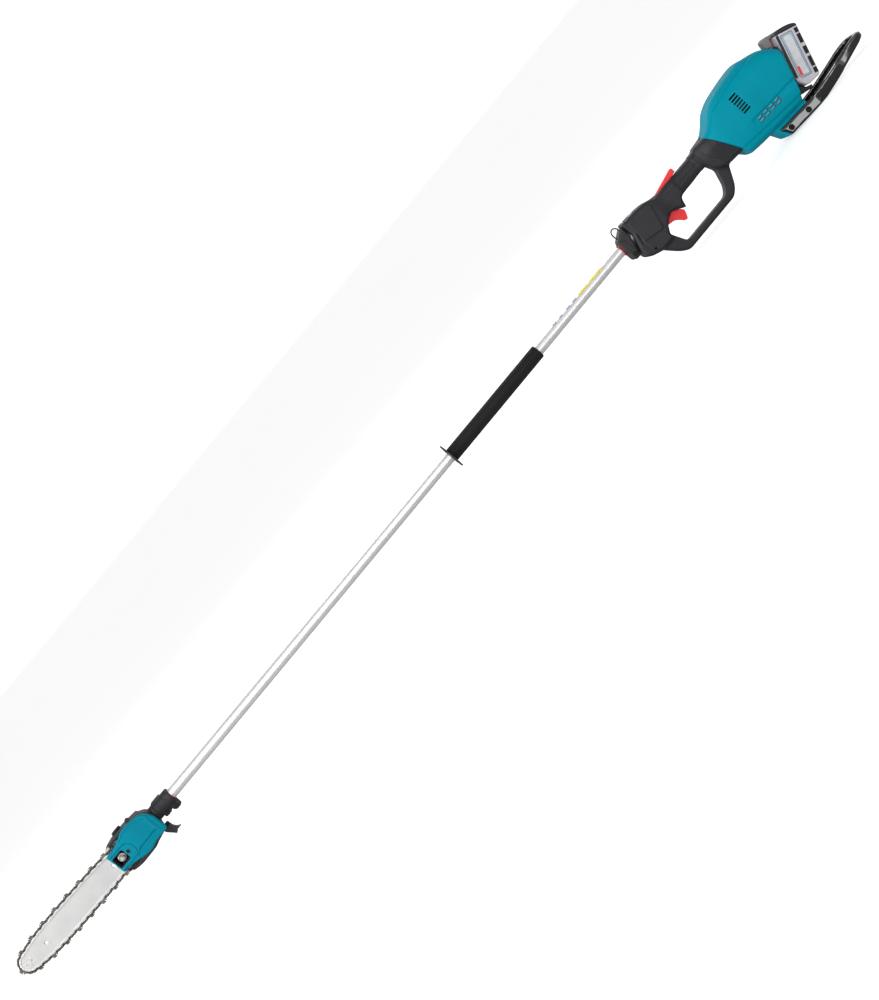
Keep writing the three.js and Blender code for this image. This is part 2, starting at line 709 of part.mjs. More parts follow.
function handStopFlange() {
  const { x0, flangeRadius, flangeWidth } = GRIP;
  const profile = [
    [BORE, x0 - GAP - flangeWidth],
    [flangeRadius - 2, x0 - GAP - flangeWidth],
    [flangeRadius, x0 - GAP - flangeWidth * 0.6],
    [flangeRadius, x0 - GAP - flangeWidth * 0.3],
    [flangeRadius - 2, x0 - GAP],
    [BORE, x0 - GAP],
  ];
  const closed = [...profile, profile[0]].map(([r, x]) => new THREE.Vector2(r, x));
  const geometry = new THREE.LatheGeometry(closed, 32);
  geometry.rotateZ(-Math.PI / 2);
  return solid(geometry);
}

piece("pole_clamp", poleClamp(), BLACK);
CLAMP_SCREWS.forEach(({ name, x, z, radius }) => {
  piece("clamp_screw_" + name, screwY(x, z, radius, -10.3, 12), DARK_STEEL);
});
const SEAL = { frontRadius: 13.4, rearRadius: 14, frontWidth: 1.5, rearWidth: 3.5 };
const sealAt = CLAMP.x1 + GAP;
piece("front_seal_ring", ringX(SEAL.frontRadius, BORE, sealAt, sealAt + SEAL.frontWidth), RED);
piece("pole_tube", ringX(POLE_RADIUS, POLE_RADIUS - POLE_WALL, POLE_FRONT, POLE_REAR, 32), ALUMINIUM);
const SHAFT_FRONT = -138;
const SHAFT_REAR = 1776;
piece("drive_shaft", rodX(SHAFT_RADIUS, SHAFT_FRONT, SHAFT_REAR, 0, 0, 12), STEEL);
const BUSHINGS = 3;
for (let i = 1; i <= BUSHINGS; i++) {
  const x = POLE_FRONT + (i * (POLE_REAR - POLE_FRONT)) / (BUSHINGS + 1);
  const bushing = ringX(POLE_RADIUS - POLE_WALL - GAP, SHAFT_RADIUS + GAP, x - 15, x + 15);
  piece("shaft_bushing_" + i, bushing, NYLON);
}
piece("hand_stop_flange", handStopFlange(), BLACK);
piece("front_grip_sleeve", ribbedSleeve(), RUBBER);

// ---------------------------------------------------------------- front clamp and strap loop
const FRONT_CLAMP_CORNERS = [
  [1460, 8, 2],
  [1463, 19, 3],
  [1489, 34, 2],
  [1493, 31, 1],
  [1493.5, 7, 2],
  [1479.5, -30],
  [1479, -36, 5],
  [1461, -36, 8],
];
const LOOP = { frontX: 1470, rearX: 1487, wire: 1.5, low: 14, top: 44 };
const CLAMP_SCREW = { x: 1470, z: -26 };
piece(
  "front_clamp",
  cut(
    plate(FRONT_CLAMP_CORNERS, -21, 21, { bevel: 2.5, steps: 1 }),
    rodX(BORE, 1450, 1500),
    rodZ(LOOP.wire + GAP, LOOP.low - GAP, 50, LOOP.frontX, 0, 10),
    rodZ(LOOP.wire + GAP, LOOP.low - GAP, 50, LOOP.rearX, 0, 10),
    rodY(3 + GAP, -30, 30, CLAMP_SCREW.x, CLAMP_SCREW.z, 12),
    rodY(5.5, -30, -16.2, CLAMP_SCREW.x, CLAMP_SCREW.z, 16),
  ),
  BLACK,
);
piece("front_clamp_screw", screwY(CLAMP_SCREW.x, CLAMP_SCREW.z, 3, -16.5, 18), STEEL);

function strapLoop() {
  const { frontX, rearX, low, top } = LOOP;
  const points = [
    [frontX, low],
    [frontX, 24],
    [frontX, 36],
    [frontX + 4, top - 1],
    [rearX - 6, top],
    [rearX, top - 7],
    [rearX, 30],
    [rearX, low],
  ].map(([x, z]) => new THREE.Vector3(x, 0, z));
  const section = new THREE.Shape();
  section.absarc(0, 0, LOOP.wire, 0, 2 * Math.PI);
  const extrudePath = new THREE.CatmullRomCurve3(points, false, "chordal");
  return solid(new THREE.ExtrudeGeometry(section, { extrudePath, steps: 18, curveSegments: 3 }));
}
piece("strap_loop", strapLoop(), STEEL);
const clampFront = FRONT_CLAMP_CORNERS[0][0] - GAP;
piece("rear_seal_ring", ringX(SEAL.rearRadius, BORE, clampFront - SEAL.rearWidth, clampFront), RED);

// ---------------------------------------------------------------- handle
const FRONT_SLANT = 7; // height where the front edge of the handle turns back
const CONTROL_CORNERS = [
  [1494, 37.5, 3],
  [1530, 36],
  [1560, 32, 8],
  [1584, 22, 8],
  [1600, 18],
  [1640, 17],
  [1640, -22],
  [1624, -28, 4],
  [1619, -45, 2],
  [1612, -43],
  [1600, -33],
  [1580, -28],
  [1562, -40],
  [1551, -55],
  [1552, -66],
  [1512, -66],
  [1490, -57, 5],
  [1481, -48, 5],
  [1481.5, -30],
  [1495.5, FRONT_SLANT],
];
const CONTROL_HOLLOW = [
  [1499, 33],
  [1530, 32],
  [1556, 27],
  [1556, -14],
  [1551, -52],
  [1516, -56],
  [1494, -50],
  [1486, -42],
  [1486, -30],
  [1499, 5],
];
// Seen from above, the control housing narrows to the grip.
const CONTROL_PLAN = [
  [1470, -30],
  [1566, -30],
  [1606, -14],
  [1640, -14],
  [1640, 14],
  [1606, 14],
  [1566, 30],
  [1470, 30],
];
// The edge that hangs down behind the trigger.
const TRIGGER_LIP = [
  [1592, 8],
  [1632, 8],
  [1636, -23],
  [1625, -28, 3],
  [1619, -45, 2],
  [1612, -43],
  [1590, -28],
];
const SIDE_PANEL = [
  [1505, 31, 3],
  [1560, 26, 3],
  [1567, 17, 3],
  [1549, -36, 4],
  [1501, -23, 4],
];
const GUARD_OUTER = [
  [1512, -60],
  [1540, -98, 8],
  [1556, -112, 10],
  [1704, -112, 12],
  [1722, -98, 8],
  [1748, -56],
  [1720, -40],
  [1640, -10],
  [1540, -30],
];
const GUARD_INNER = [
  [1552, -56, 3],
  [1568, -95.5, 6],
  [1692, -95.5, 8],
  [1706, -80, 4],
  [1719, -45, 5],
  [1712, -23, 4],
  [1626, -23, 5],
  [1618, -46, 2],
  [1590, -28],
  [1562, -40],
];
const NECK_STATIONS = [
  [1700, 18.5, -23.5, 19],
  [1711, 19, -26, 19.5],
  [1720, 24, -42, 25],
  [1735, 26, -56, 38],
  [1760, 34, -60, 46],
  [1784, 44, -62, 50],
];
// Plane between the black neck and the motor housing, leaning forward at the top.
const NECK_PLANE = { x: 1757, z: 0, lean: THREE.MathUtils.degToRad(-25.5) };

function neckCut(offset) {
  const behind = box(0, 600, -300, 300, -400, 400);
  return behind
    .translate([offset, 0, 0])
    .rotate([0, THREE.MathUtils.radToDeg(NECK_PLANE.lean), 0])
    .translate([NECK_PLANE.x, 0, NECK_PLANE.z]);
}

const LIP_HALF_WIDTH = 15;
const PANEL_HEIGHT = 1.8;

function handleBody() {
  const { halfWidth, gripX0, gripX1, top, bottom, halfGrip } = HANDLE;
  const boxy = plate(CONTROL_CORNERS, -halfWidth, halfWidth, { bevel: 4 });
  const control = boxy.intersect(floorPlan(CONTROL_PLAN, -100, 60));
  const lip = plate(TRIGGER_LIP, -LIP_HALF_WIDTH, LIP_HALF_WIDTH, { bevel: 2, steps: 1 });
  const panelHalf = halfWidth + PANEL_HEIGHT;
  const panels = plate(SIDE_PANEL, -panelHalf, panelHalf, { bevel: 1, steps: 1 });
  const grip = loft(
    [
      [gripX0 - 8, top + 1, bottom - 3, halfGrip + 3],
      [gripX0 + 10, top, bottom - 2, halfGrip],
      [gripX0 + 50, top, bottom, halfGrip],
      [gripX1 - 10, top - 0.5, bottom, halfGrip],
    ],
    { power: 2.5, count: 20 },
  );
  const neck = loft(NECK_STATIONS, { power: 3, count: 24 }).subtract(neckCut(0));
  const guard = cut(
    plate(GUARD_OUTER, -GUARD_HALF_WIDTH, GUARD_HALF_WIDTH, { bevel: 3 }),
    plate(GUARD_INNER, -40, 40),
  );
  return join(control, lip, panels, grip, neck, guard);
}

function handleHollows() {
  const triggerSide = TRIGGER.halfWidth + 0.8;
  const leverSide = LEVER.halfWidth + 0.6;
  const wide = HANDLE.halfWidth - 3;
  const pinHole = PIN_RADIUS + GAP;
  return join(
    rodX(BORE, 1470, 1790),
    plate(CONTROL_HOLLOW, -wide, wide),
    box(1549, 1621, -triggerSide, triggerSide, -70, -13),
    rodY(pinHole, -12, 12, TRIGGER.pivotX, TRIGGER.pivotZ, 12),
    box(LEVER.pivotX - 6, 1662, -leverSide, leverSide, 12.4, 60),
    rodY(pinHole, -11, 11, LEVER.pivotX, LEVER.pivotZ, 12),
    rodZ(POWER_BUTTON.radius + GAP, 20, 60, POWER_BUTTON.x, 0, 20),
    rodX(HOUSING.neckOpening, 1744, 1790, 0, -5, 20),
  );
}
const handle = cut(handleBody(), handleHollows());
piece("handle_shell_left", leftHalf(handle), BLACK);
piece("handle_shell_right", rightHalf(handle), BLACK);

const TRIGGER_CORNERS = [
  [1560, -15, 1],
  [1577, -15, 2],
  [1590, -26],
  [1604, -36],
  [1613, -47, 2],
  [1609, -57],
  [1603, -66, 1],
  [1597, -64, 1],
  [1589, -53],
  [1581, -46, 3],
  [1563, -42, 2],
  [1559, -24],
];
function trigger() {
  const { pivotX, pivotZ, halfWidth } = TRIGGER;
  const blade = plate(TRIGGER_CORNERS, -halfWidth, halfWidth, { bevel: 1, steps: 1 });
  return cut(blade, rodY(PIN_RADIUS + GAP, -12, 12, pivotX, pivotZ, 12));
}
piece("trigger", trigger(), RED);
piece("trigger_pin", rodY(PIN_RADIUS, -11.5, 11.5, TRIGGER.pivotX, TRIGGER.pivotZ, 12), STEEL);

// The switch has a plunger that the trigger pushes, and below it a stub that holds the spring.
const SWITCH = { x0: 1514, x1: 1548, halfWidth: 9, low: -46, high: -15 };
const SPRING = { radius: 2.5, x0: 1551.6, x1: 1557.4, z: -35 };
function triggerSwitch() {
  const { x0, x1, halfWidth, low, high } = SWITCH;
  const plunger = rodX(2.5, x1, SPRING.x1, 0, -19.5, 10);
  const stub = rodX(1.6, x1, SPRING.x0 - 0.8, 0, SPRING.z, 8);
  return join(box(x0, x1, -halfWidth, halfWidth, low, high), plunger, stub);
}
piece("trigger_spring", rodX(SPRING.radius, SPRING.x0, SPRING.x1, 0, SPRING.z, 10), STEEL);
piece("trigger_switch", triggerSwitch(), BLACK);

const LEVER_CORNERS = [
  [1591, 14.5, 2],
  [1590.5, 20, 1],
  [1652, 32.5, 3],
  [1659, 30.5, 3],
  [1659.5, 22],
  [1653, 23],
  [1602, 14.5],
];
function lockOffLever() {
  const { pivotX, pivotZ, halfWidth } = LEVER;
  const wedge = plate(LEVER_CORNERS, -halfWidth, halfWidth, { bevel: 1, steps: 1 });
  return join(wedge, rodY(PIN_RADIUS, -10, 10, pivotX, pivotZ, 12));
}
piece("lock_off_lever", lockOffLever(), RED);

function powerButton() {
  const { x, radius, top } = POWER_BUTTON;
  return join(rodZ(radius, 27, top, x, 0, 20), rodZ(radius + 2, 25.5, 28, x, 0, 20));
}
piece("power_button", powerButton(), GREY);

// ---------------------------------------------------------------- motor housing
const HOUSING_STATIONS = [
  [1730, 24, -50, 34],
  [1752, 26, -56, 43],
  [1772, 37, -62, 49],
  [1790, 52, -78, 52],
  [1806, 60, -82, 54],
  [1828, 66, -85, 56],
  [1860, 70, -88, 57],
  [1905, 72.5, -92, 57],
  [1930, 65, -94, 56],
  [1960, 54, -96, 55],
  [1980, 38, -98, 54],
  [2004, 10, -100, 52],
];
const KEEL_CORNERS = [
  [1856, -80],
  [1873, -118.5, 3],
  [1884, -120.5],
  [1958, -123.6],
  [1949, -90],
];
const HOOP_SCREWS = [
  [1886, -107],
  [1938, -111],
];
const HOOP_SCREW_RADIUS = 3;

// Everything behind the leaning battery face; offset moves the face backwards.
function behindFace(offset) {
  const angle = THREE.MathUtils.radToDeg(REAR_TILT);
  return box(REAR_FACE + offset, REAR_FACE + 600, -300, 300, 0, 1400).rotate([0, angle, 0]);
}

// Slots through both side walls, and shallow louvres pressed into them lower down.
function sideOpenings() {
  const cuts = [];
  const through = { y0: 46, y1: 64 };
  for (const side of [-1, 1]) {
    const slot = (x0, x1, y0, y1, z, height) =>
      side > 0
        ? box(x0, x1, y0, y1, z - height / 2, z + height / 2)
        : box(x0, x1, -y1, -y0, z - height / 2, z + height / 2);
    for (let i = 0; i < SIDE_VENTS.count; i++) {
      const z = SIDE_VENTS.top - SIDE_VENTS.step * i;
      cuts.push(slot(SIDE_VENTS.x0, SIDE_VENTS.x1, through.y0, through.y1, z, SIDE_VENTS.height));
    }
    for (const row of LOUVRES.rows) {
      for (let i = 0; i < LOUVRES.count; i++) {
        const x = LOUVRES.x0 + LOUVRES.step * i;
        cuts.push(slot(x, x + LOUVRES.length, LOUVRES.bottom, through.y1, row - i, LOUVRES.height));
      }
    }
  }
  return cuts;
}

// Everything ahead of the leaning plane of the neck; offset moves the plane backwards.
function aheadOfNeck(offset) {
  return box(offset - 700, offset, -300, 300, -400, 400)
    .rotate([0, THREE.MathUtils.radToDeg(NECK_PLANE.lean), 0])
    .translate([NECK_PLANE.x, 0, NECK_PLANE.z]);
}

function motorHousing() {
  const { wall, power, count, neckOpening } = HOUSING;
  const outer = loft(HOUSING_STATIONS, { power, count });
  const inner = loft(HOUSING_STATIONS, { power, count, inset: wall });
  const keelHalf = HOOP.armInner - GAP;
  const keel = plate(KEEL_CORNERS, -keelHalf, keelHalf, { bevel: 1.5, steps: 1 });
  return cut(
    join(cut(outer, behindFace(0), aheadOfNeck(GAP)), keel),
    cut(inner, behindFace(-wall), aheadOfNeck(wall + GAP)),
    ...sideOpenings(),
    rodX(neckOpening, 1700, 1796, 0, -5, 20),
    ...HOOP_SCREWS.map(([x, z]) => rodY(HOOP_SCREW_RADIUS + GAP, -60, 60, x, z, 12)),
  );
}
const housing = motorHousing();
piece("motor_housing_left", leftHalf(housing), TEAL);
piece("motor_housing_right", rightHalf(housing), TEAL);

function stator() {
  const { x0, x1, statorRadius, rotorRadius } = MOTOR;
  const ring = ringX(statorRadius, statorRadius - 6, x0, x1, 32);
  const poles = [];
  for (let i = 0; i < 6; i++) {
    const pole = box(x0 + 3, x1 - 3, -6, 6, rotorRadius + 1, statorRadius - 5);
    poles.push(pole.rotate([i * 60, 0, 0]));
  }
  return join(ring, ...poles);
}

const FAN = { x0: 1792, x1: 1810, radius: 36, blades: 9, hub: 13 };
function fan() {
  const { x0, x1, radius, blades: count, hub: hubRadius } = FAN;
  const blades = [];
  for (let i = 0; i < count; i++) {
    const blade = box(x0 + 2, x1, -1, 1, hubRadius - 1, radius);
    blades.push(blade.rotate([(i * 360) / count, 0, 0]));
  }
  const disc = rodX(radius, x1 - 2, x1 + 0.5, 0, 0, 32);
  const hub = rodX(hubRadius, x0, x1, 0, 0, 20);
  return cut(join(disc, hub, ...blades), rodX(shaftBore, x0 - 9, x1 + 9, 0, 0, 16));
}
const shaftBore = MOTOR.shaftRadius + GAP;
const MOTOR_SHAFT_REAR = 1898;
const MOTOR_BEARING = { radius: 11, width: 7, frontX: 1814, rearX: 1888 };
function motorBearing(x) {
  return ringX(MOTOR_BEARING.radius, shaftBore, x, x + MOTOR_BEARING.width);
}
piece("motor_stator", stator(), COPPER);
piece("motor_rotor", ringX(MOTOR.rotorRadius, shaftBore, MOTOR.x0 + 2, MOTOR.x1 - 2, 28), DARK_STEEL);
piece("motor_shaft", rodX(MOTOR.shaftRadius, SHAFT_REAR + GAP, MOTOR_SHAFT_REAR, 0, 0, 16), STEEL);
piece("cooling_fan", fan(), RUBBER);
piece("shaft_coupling", ringX(8, shaftBore, SHAFT_REAR - 16, SHAFT_REAR + 14, 20), STEEL);
piece("motor_bearing_front", motorBearing(MOTOR_BEARING.frontX), STEEL);
piece("motor_bearing_rear", motorBearing(MOTOR_BEARING.rearX), STEEL);
piece("controller_board", box(1850, 1925, -30, 30, -76, -62), BOARD);

// ---------------------------------------------------------------- rear hoop
function hoopArmPlan() {
  const { armInner, armOuter, bendX, rearX } = HOOP;
  const outer = [
    [1863, -armOuter],
    [bendX - 10, -armOuter, 10],
    [rearX, -armOuter + 6, 34],
    [rearX, armOuter - 6, 34],
    [bendX - 10, armOuter, 10],
    [1863, armOuter],
  ];
  const inner = [
    [1850, -armInner],
    [bendX - 14, -armInner, 10],
    [rearX - 12, -armInner + 6, 24],
    [rearX - 12, armInner - 6, 24],
    [bendX - 14, armInner, 10],
    [1850, armInner],
  ];
  return cut(floorPlan(outer, -140, -70), floorPlan(inner, -150, -60));
}
const HOOP_SIDE = [
  [1864, -92, 2],
  [1952, -98, 2],
  [1996, -97, 20],
  [2050, -91, 20],
  [2100, -84, 10],
  [2128, -84, 6],
  [2142, -88, 3],
  [2142, -97, 3],
  [2120, -102, 5],
  [2035, -118, 20],
  [1985, -124],
  [1962, -124],
  [1878, -119, 2],
];
function rearHoop() {
  const profile = plate(HOOP_SIDE, -60, 60);
  return cut(
    hoopArmPlan().intersect(profile),
    outsideHousing(),
    ...HOOP_SCREWS.map(([x, z]) => rodY(HOOP_SCREW_RADIUS + GAP, -60, 60, x, z, 12)),
    ...HOOP_SCREWS.map(([x, z]) => rodY(5.4, -60, -HOOP.armOuter + 4.5, x, z, 16)),
  );
}
// The housing's outer form with a little room around it, to trim the hoop's arms.
function outsideHousing() {
  const { power, count } = HOUSING;
  return cut(loft(HOUSING_STATIONS, { power, count, inset: -0.5 }), behindFace(3));
}
piece("rear_hoop", rearHoop(), GLOSS_BLACK);
HOOP_SCREWS.forEach(([x, z], i) => {
  const screw = screwY(x, z, HOOP_SCREW_RADIUS, -HOOP.armOuter + 4.2, HOOP.armOuter - 1);
  piece("hoop_screw_" + (i + 1), screw, DARK_STEEL);
});

// ---------------------------------------------------------------- battery
// In the battery's leaning frame: x is the distance behind the rear face, z runs up the face.
const seat = REAR_FACE + GAP;
const caseFront = REAR_FACE + BATTERY.gap;
const caseRear = caseFront + BATTERY.thickness;
const { low: batteryLow, high: batteryHigh, halfWidth: batteryHalf, wall: batteryWall } = BATTERY;
const capBase = batteryHigh - BATTERY.capHeight;
const ENDS_LOW = batteryHigh - BATTERY.crown;

// A box in the battery's leaning frame, the same distance to the left and to the right.
const evenBox = (x0, x1, half, z0, z1) => box(x0, x1, -half, half, z0, z1);

// The battery's outline: the front corner of its foot is cut back, and its top is crowned.
const BATTERY_CORNERS = [
  [caseFront, batteryLow + 19, 4],
  [caseFront, ENDS_LOW, 4],
  [caseFront + 10, batteryHigh - 1],
  [caseFront + 27, batteryHigh],
  [caseRear - 12, batteryHigh - 1],
  [caseRear, ENDS_LOW, 5],
  [caseRear, batteryLow + 12, 5],
  [caseFront + 19, batteryLow + 2, 5],
];
const wholeBattery = plate(BATTERY_CORNERS, -batteryHalf, batteryHalf, { bevel: 3 });

function batteryCase() {
  const above = evenBox(caseFront - 9, caseRear + 9, batteryHalf + 9, capBase, batteryHigh + 9);
  const floor = batteryLow + batteryWall + 16;
  const inside = batteryHalf - batteryWall;
  const room = evenBox(caseFront + batteryWall, caseRear - batteryWall, inside, floor, batteryHigh);
  return cut(wholeBattery, above, room);
}
function batteryTop() {
  const below = evenBox(caseFront - 9, caseRear + 9, batteryHalf + 9, batteryLow - 9, capBase + GAP);
  const room = LATCH.halfWidth + 1;
  return cut(wholeBattery, below, evenBox(caseFront - 9, caseFront + 12, room, capBase, batteryHigh + 9));
}
function batteryCells() {
  const inset = batteryWall + 1;
  const low = batteryLow + inset + 16;
  return evenBox(caseFront + inset, caseRear - inset, batteryHalf - inset, low, capBase - 2);
}

// A block that overhangs the housing's top; behind it there is room to press it back.
function batteryLatch() {
  const [front, rear] = [caseFront - LATCH.ahead, caseFront + LATCH.behind];
  const [low, high] = [batteryHigh - LATCH.below, batteryHigh + LATCH.above];
  const clear = caseFront - LATCH.room;
  const corners = [
    [front, high - 5, 2],
    [front + 8, high, 3],
    [rear, high, 1],
    [rear, capBase + 2 * GAP],
    [clear, capBase + 2 * GAP],
    [clear, low],
    [front + 4, low + 2, 2],
  ];
  return plate(corners, -LATCH.halfWidth, LATCH.halfWidth);
}
// The plate with the terminals, and below it the foot that the battery slides onto.
function terminalBlock() {
  const blades = evenBox(seat, seat + 3, 30, batteryLow + 8, batteryHigh - 30);
  const back = evenBox(seat, seat + 3, SEAT_FOOT.halfWidth, SEAT_FOOT.low, batteryLow + 9);
  const foot = evenBox(seat, seat + SEAT_FOOT.depth, SEAT_FOOT.halfWidth, SEAT_FOOT.low, SEAT_FOOT.high);
  return join(blades, back, foot);
}
piece("terminal_block", terminalBlock(), BLACK, batteryFrame);
piece("battery_case", batteryCase(), GREY, batteryFrame);
piece("battery_top", batteryTop(), BLACK, batteryFrame);
piece("battery_cells", batteryCells(), CELL_WRAP, batteryFrame);
piece("battery_latch", batteryLatch(), GREY, batteryFrame);

// ---------------------------------------------------------------- stand the object on its lowest point
root.updateMatrixWorld(true);
const bounds = new THREE.Box3().setFromObject(root, true);
const middle = bounds.getCenter(new THREE.Vector3());
root.position.set(-middle.x, -middle.y, -bounds.min.z);

export default root;
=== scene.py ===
"""The looks of a battery pole saw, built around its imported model.

Shapes are laid out in millimetres with the pole's axis at y = 0, z = 0, as the model's own frame is
before its last shift. ORIGIN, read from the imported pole, carries them into the row frame in metres.
Moulded pieces are signed distance fields sampled on a grid; turned and bent pieces are rings of points.
"""
import json
import math

import bmesh
import bpy
import numpy as np
import openvdb
from mathutils import Matrix, Vector


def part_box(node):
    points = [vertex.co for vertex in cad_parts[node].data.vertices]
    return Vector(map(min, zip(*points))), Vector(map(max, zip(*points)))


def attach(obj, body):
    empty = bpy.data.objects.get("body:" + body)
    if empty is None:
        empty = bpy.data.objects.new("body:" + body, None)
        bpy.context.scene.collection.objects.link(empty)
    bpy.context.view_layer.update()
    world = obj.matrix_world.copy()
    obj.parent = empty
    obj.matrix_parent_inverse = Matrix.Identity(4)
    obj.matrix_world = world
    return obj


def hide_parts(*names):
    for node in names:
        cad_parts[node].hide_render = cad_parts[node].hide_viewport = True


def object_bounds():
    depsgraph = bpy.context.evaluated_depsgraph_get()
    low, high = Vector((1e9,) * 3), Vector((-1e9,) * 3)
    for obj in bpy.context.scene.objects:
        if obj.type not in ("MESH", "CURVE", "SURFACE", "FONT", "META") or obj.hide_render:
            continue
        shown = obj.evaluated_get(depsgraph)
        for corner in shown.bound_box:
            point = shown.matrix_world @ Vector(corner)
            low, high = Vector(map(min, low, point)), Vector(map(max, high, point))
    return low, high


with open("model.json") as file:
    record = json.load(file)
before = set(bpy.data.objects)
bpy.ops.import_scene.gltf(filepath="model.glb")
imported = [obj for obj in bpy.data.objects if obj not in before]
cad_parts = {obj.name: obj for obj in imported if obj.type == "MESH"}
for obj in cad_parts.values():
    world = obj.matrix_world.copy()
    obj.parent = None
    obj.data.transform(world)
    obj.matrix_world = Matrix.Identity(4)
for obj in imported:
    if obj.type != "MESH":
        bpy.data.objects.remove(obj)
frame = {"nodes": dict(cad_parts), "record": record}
cad_low, cad_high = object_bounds()

POLE_FRONT = -100.0
POLE_REAR = 1738.0
pole_low, pole_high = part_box("pole_tube")
ORIGIN = np.array([pole_low.x - POLE_FRONT / 1000, 0, (pole_low.z + pole_high.z) / 2])
POLE_RADIUS = (pole_high.z - pole_low.z) * 500
BORE = POLE_RADIUS + 0.3


# ---------------------------------------------------------------- materials
def material(name, base, rough, metal=0.0, tint=0.12, grain=(1500, 0.25, 0.00006), stretch=(1, 1, 1),
        rough_spread=0.08, patch=14, coat=0.0, ior=1.5, wear=0.0, crease_shade=0.85, shine=0.5):
    """A procedural finish: colour and roughness drift over patches, creases and hollows get painted shade,
    and a fine grain raises the surface.
    """
    made = bpy.data.materials.new(name)
    made.use_nodes = True
    nodes, links = made.node_tree.nodes, made.node_tree.links
    principled = nodes["Principled BSDF"]
    principled.inputs["Metallic"].default_value = metal
    principled.inputs["IOR"].default_value = ior
    principled.inputs["Coat Weight"].default_value = coat
    principled.inputs["Coat Roughness"].default_value = 0.06
    principled.inputs["Specular IOR Level"].default_value = shine
    where = nodes.new("ShaderNodeTexCoord")
    spread = nodes.new("ShaderNodeMapping")
    spread.inputs["Scale"].default_value = stretch
    links.new(where.outputs["Object"], spread.inputs["Vector"])

    def noise(scale, detail, source):
        made_noise = nodes.new("ShaderNodeTexNoise")
        made_noise.inputs["Scale"].default_value = scale
        made_noise.inputs["Detail"].default_value = detail
        links.new(source.outputs[0 if source is spread else "Object"], made_noise.inputs["Vector"])
        return made_noise

    def ramp(source, low, high, low_at=0.3, high_at=0.7):
        made_ramp = nodes.new("ShaderNodeValToRGB")
        first, last = made_ramp.color_ramp.elements
        first.position, last.position = low_at, high_at
        first.color, last.color = (*low, 1), (*high, 1)
        links.new(source, made_ramp.inputs["Fac"])
        return made_ramp

    drift = noise(patch, 4, where)
    dark = [c * (1 - tint) for c in base]
    light = [min(1, c * (1 + tint)) for c in base]
    colour = ramp(drift.outputs["Fac"], dark, light).outputs["Color"]
    geometry = nodes.new("ShaderNodeNewGeometry")

    def blend(mask, under, over):
        mixed = nodes.new("ShaderNodeMix")
        mixed.data_type = "RGBA"
        mixed.inputs["B"].default_value = (*over, 1)
        links.new(mask.outputs["Color"], mixed.inputs["Factor"])
        links.new(under, mixed.inputs["A"])
        return mixed.outputs["Result"]

    # painted shade: where pointiness is low, in creases and hollows, the colour is darkened towards a
    # quarter of its base
    if crease_shade:
        crease = ramp(geometry.outputs["Pointiness"], (crease_shade, crease_shade, crease_shade), (0, 0, 0), 0.42, 0.49)
        colour = blend(crease, colour, [c * 0.25 for c in base])
    if wear:
        edge = ramp(geometry.outputs["Pointiness"], (0, 0, 0), (wear, wear, wear), 0.52, 0.6)
        colour = blend(edge, colour, [min(1, c * 1.8 + 0.05) for c in base])
    links.new(colour, principled.inputs["Base Color"])
    scuffs = noise(patch * 9, 5, where)
    range_of = nodes.new("ShaderNodeMapRange")
    range_of.inputs["To Min"].default_value = max(0.02, rough - rough_spread)
    range_of.inputs["To Max"].default_value = rough + rough_spread
    links.new(scuffs.outputs["Fac"], range_of.inputs["Value"])
    links.new(range_of.outputs["Result"], principled.inputs["Roughness"])
    scale, strength, distance = grain
    fine = noise(scale, 3, spread)
    bump = nodes.new("ShaderNodeBump")
    bump.inputs["Strength"].default_value = strength
    bump.inputs["Distance"].default_value = distance
    links.new(fine.outputs["Fac"], bump.inputs["Height"])
    links.new(bump.outputs["Normal"], principled.inputs["Normal"])
    return made


ALONG = (0.02, 1, 1)  # stretches a grain into lines that run along X
FINISH = {"teal_plastic": material("teal", (0.0001, 0.285, 0.38), 0.4, tint=0.07, grain=(900, 0.12,
    0.00008), wear=0.15, shine=0.05), "black_plastic": material("charcoal", (0.022, 0.022, 0.025), 0.5,
    grain=(1100, 0.35, 0.0001), wear=0.5, shine=0.36), "black_rubber": material("rubber", (0.009, 0.009,
    0.01), 0.6, grain=(700, 0.5, 0.0002), rough_spread=0.12, shine=0.3), "gloss_black": material("lacquer",
    (0.005, 0.005, 0.006), 0.1, grain=(2500, 0.02, 0.00001), rough_spread=0.03, coat=0.8, ior=1.75),
    "red_plastic": material("red", (0.95, 0.05, 0.055), 0.42, tint=0.08, grain=(1000, 0.15, 0.0001),
    wear=0.1, shine=0.2), "red_seal": material("seal", (0.36, 0.01, 0.016), 0.5, grain=(1200, 0.3, 0.0001)),
    "grey_plastic": material("grey", (0.56, 0.53, 0.58), 0.46, tint=0.07, grain=(1100, 0.4, 0.0001),
    wear=0.3), "pole_aluminium": material("aluminium", (0.9, 0.9, 0.905), 0.36, 0.7, tint=0.03,
    stretch=ALONG, grain=(1600, 0.18, 0.00003), rough_spread=0.07, patch=25), "bright_steel":
    material("steel", (0.66, 0.655, 0.65), 0.3, 1.0, tint=0.08, stretch=(0.1, 1, 1), grain=(1800, 0.2,
    0.00004), patch=40), "dark_steel": material("oiled_steel", (0.07, 0.06, 0.052), 0.42, 1.0, tint=0.35,
    grain=(900, 0.4, 0.0001), patch=220, wear=0.6), "copper_windings": material("windings", (0.06, 0.024,
    0.012), 0.5, 0.6, grain=(900, 0.6, 0.0003)), "circuit_board": material("board", (0.02, 0.13, 0.05),
    0.45, grain=(600, 0.5, 0.0002), patch=120), "natural_nylon": material("nylon", (0.75, 0.73, 0.67), 0.5,
    tint=0.05), "cell_cans": material("cans", (0.06, 0.16, 0.36), 0.35, 0.3),}
SATIN_BAR = material("bar_steel", (0.62, 0.615, 0.61), 0.45, 0.9, tint=0.05, stretch=(0.05, 1, 1),
    grain=(1500, 0.25, 0.00003), patch=30, rough_spread=0.1)
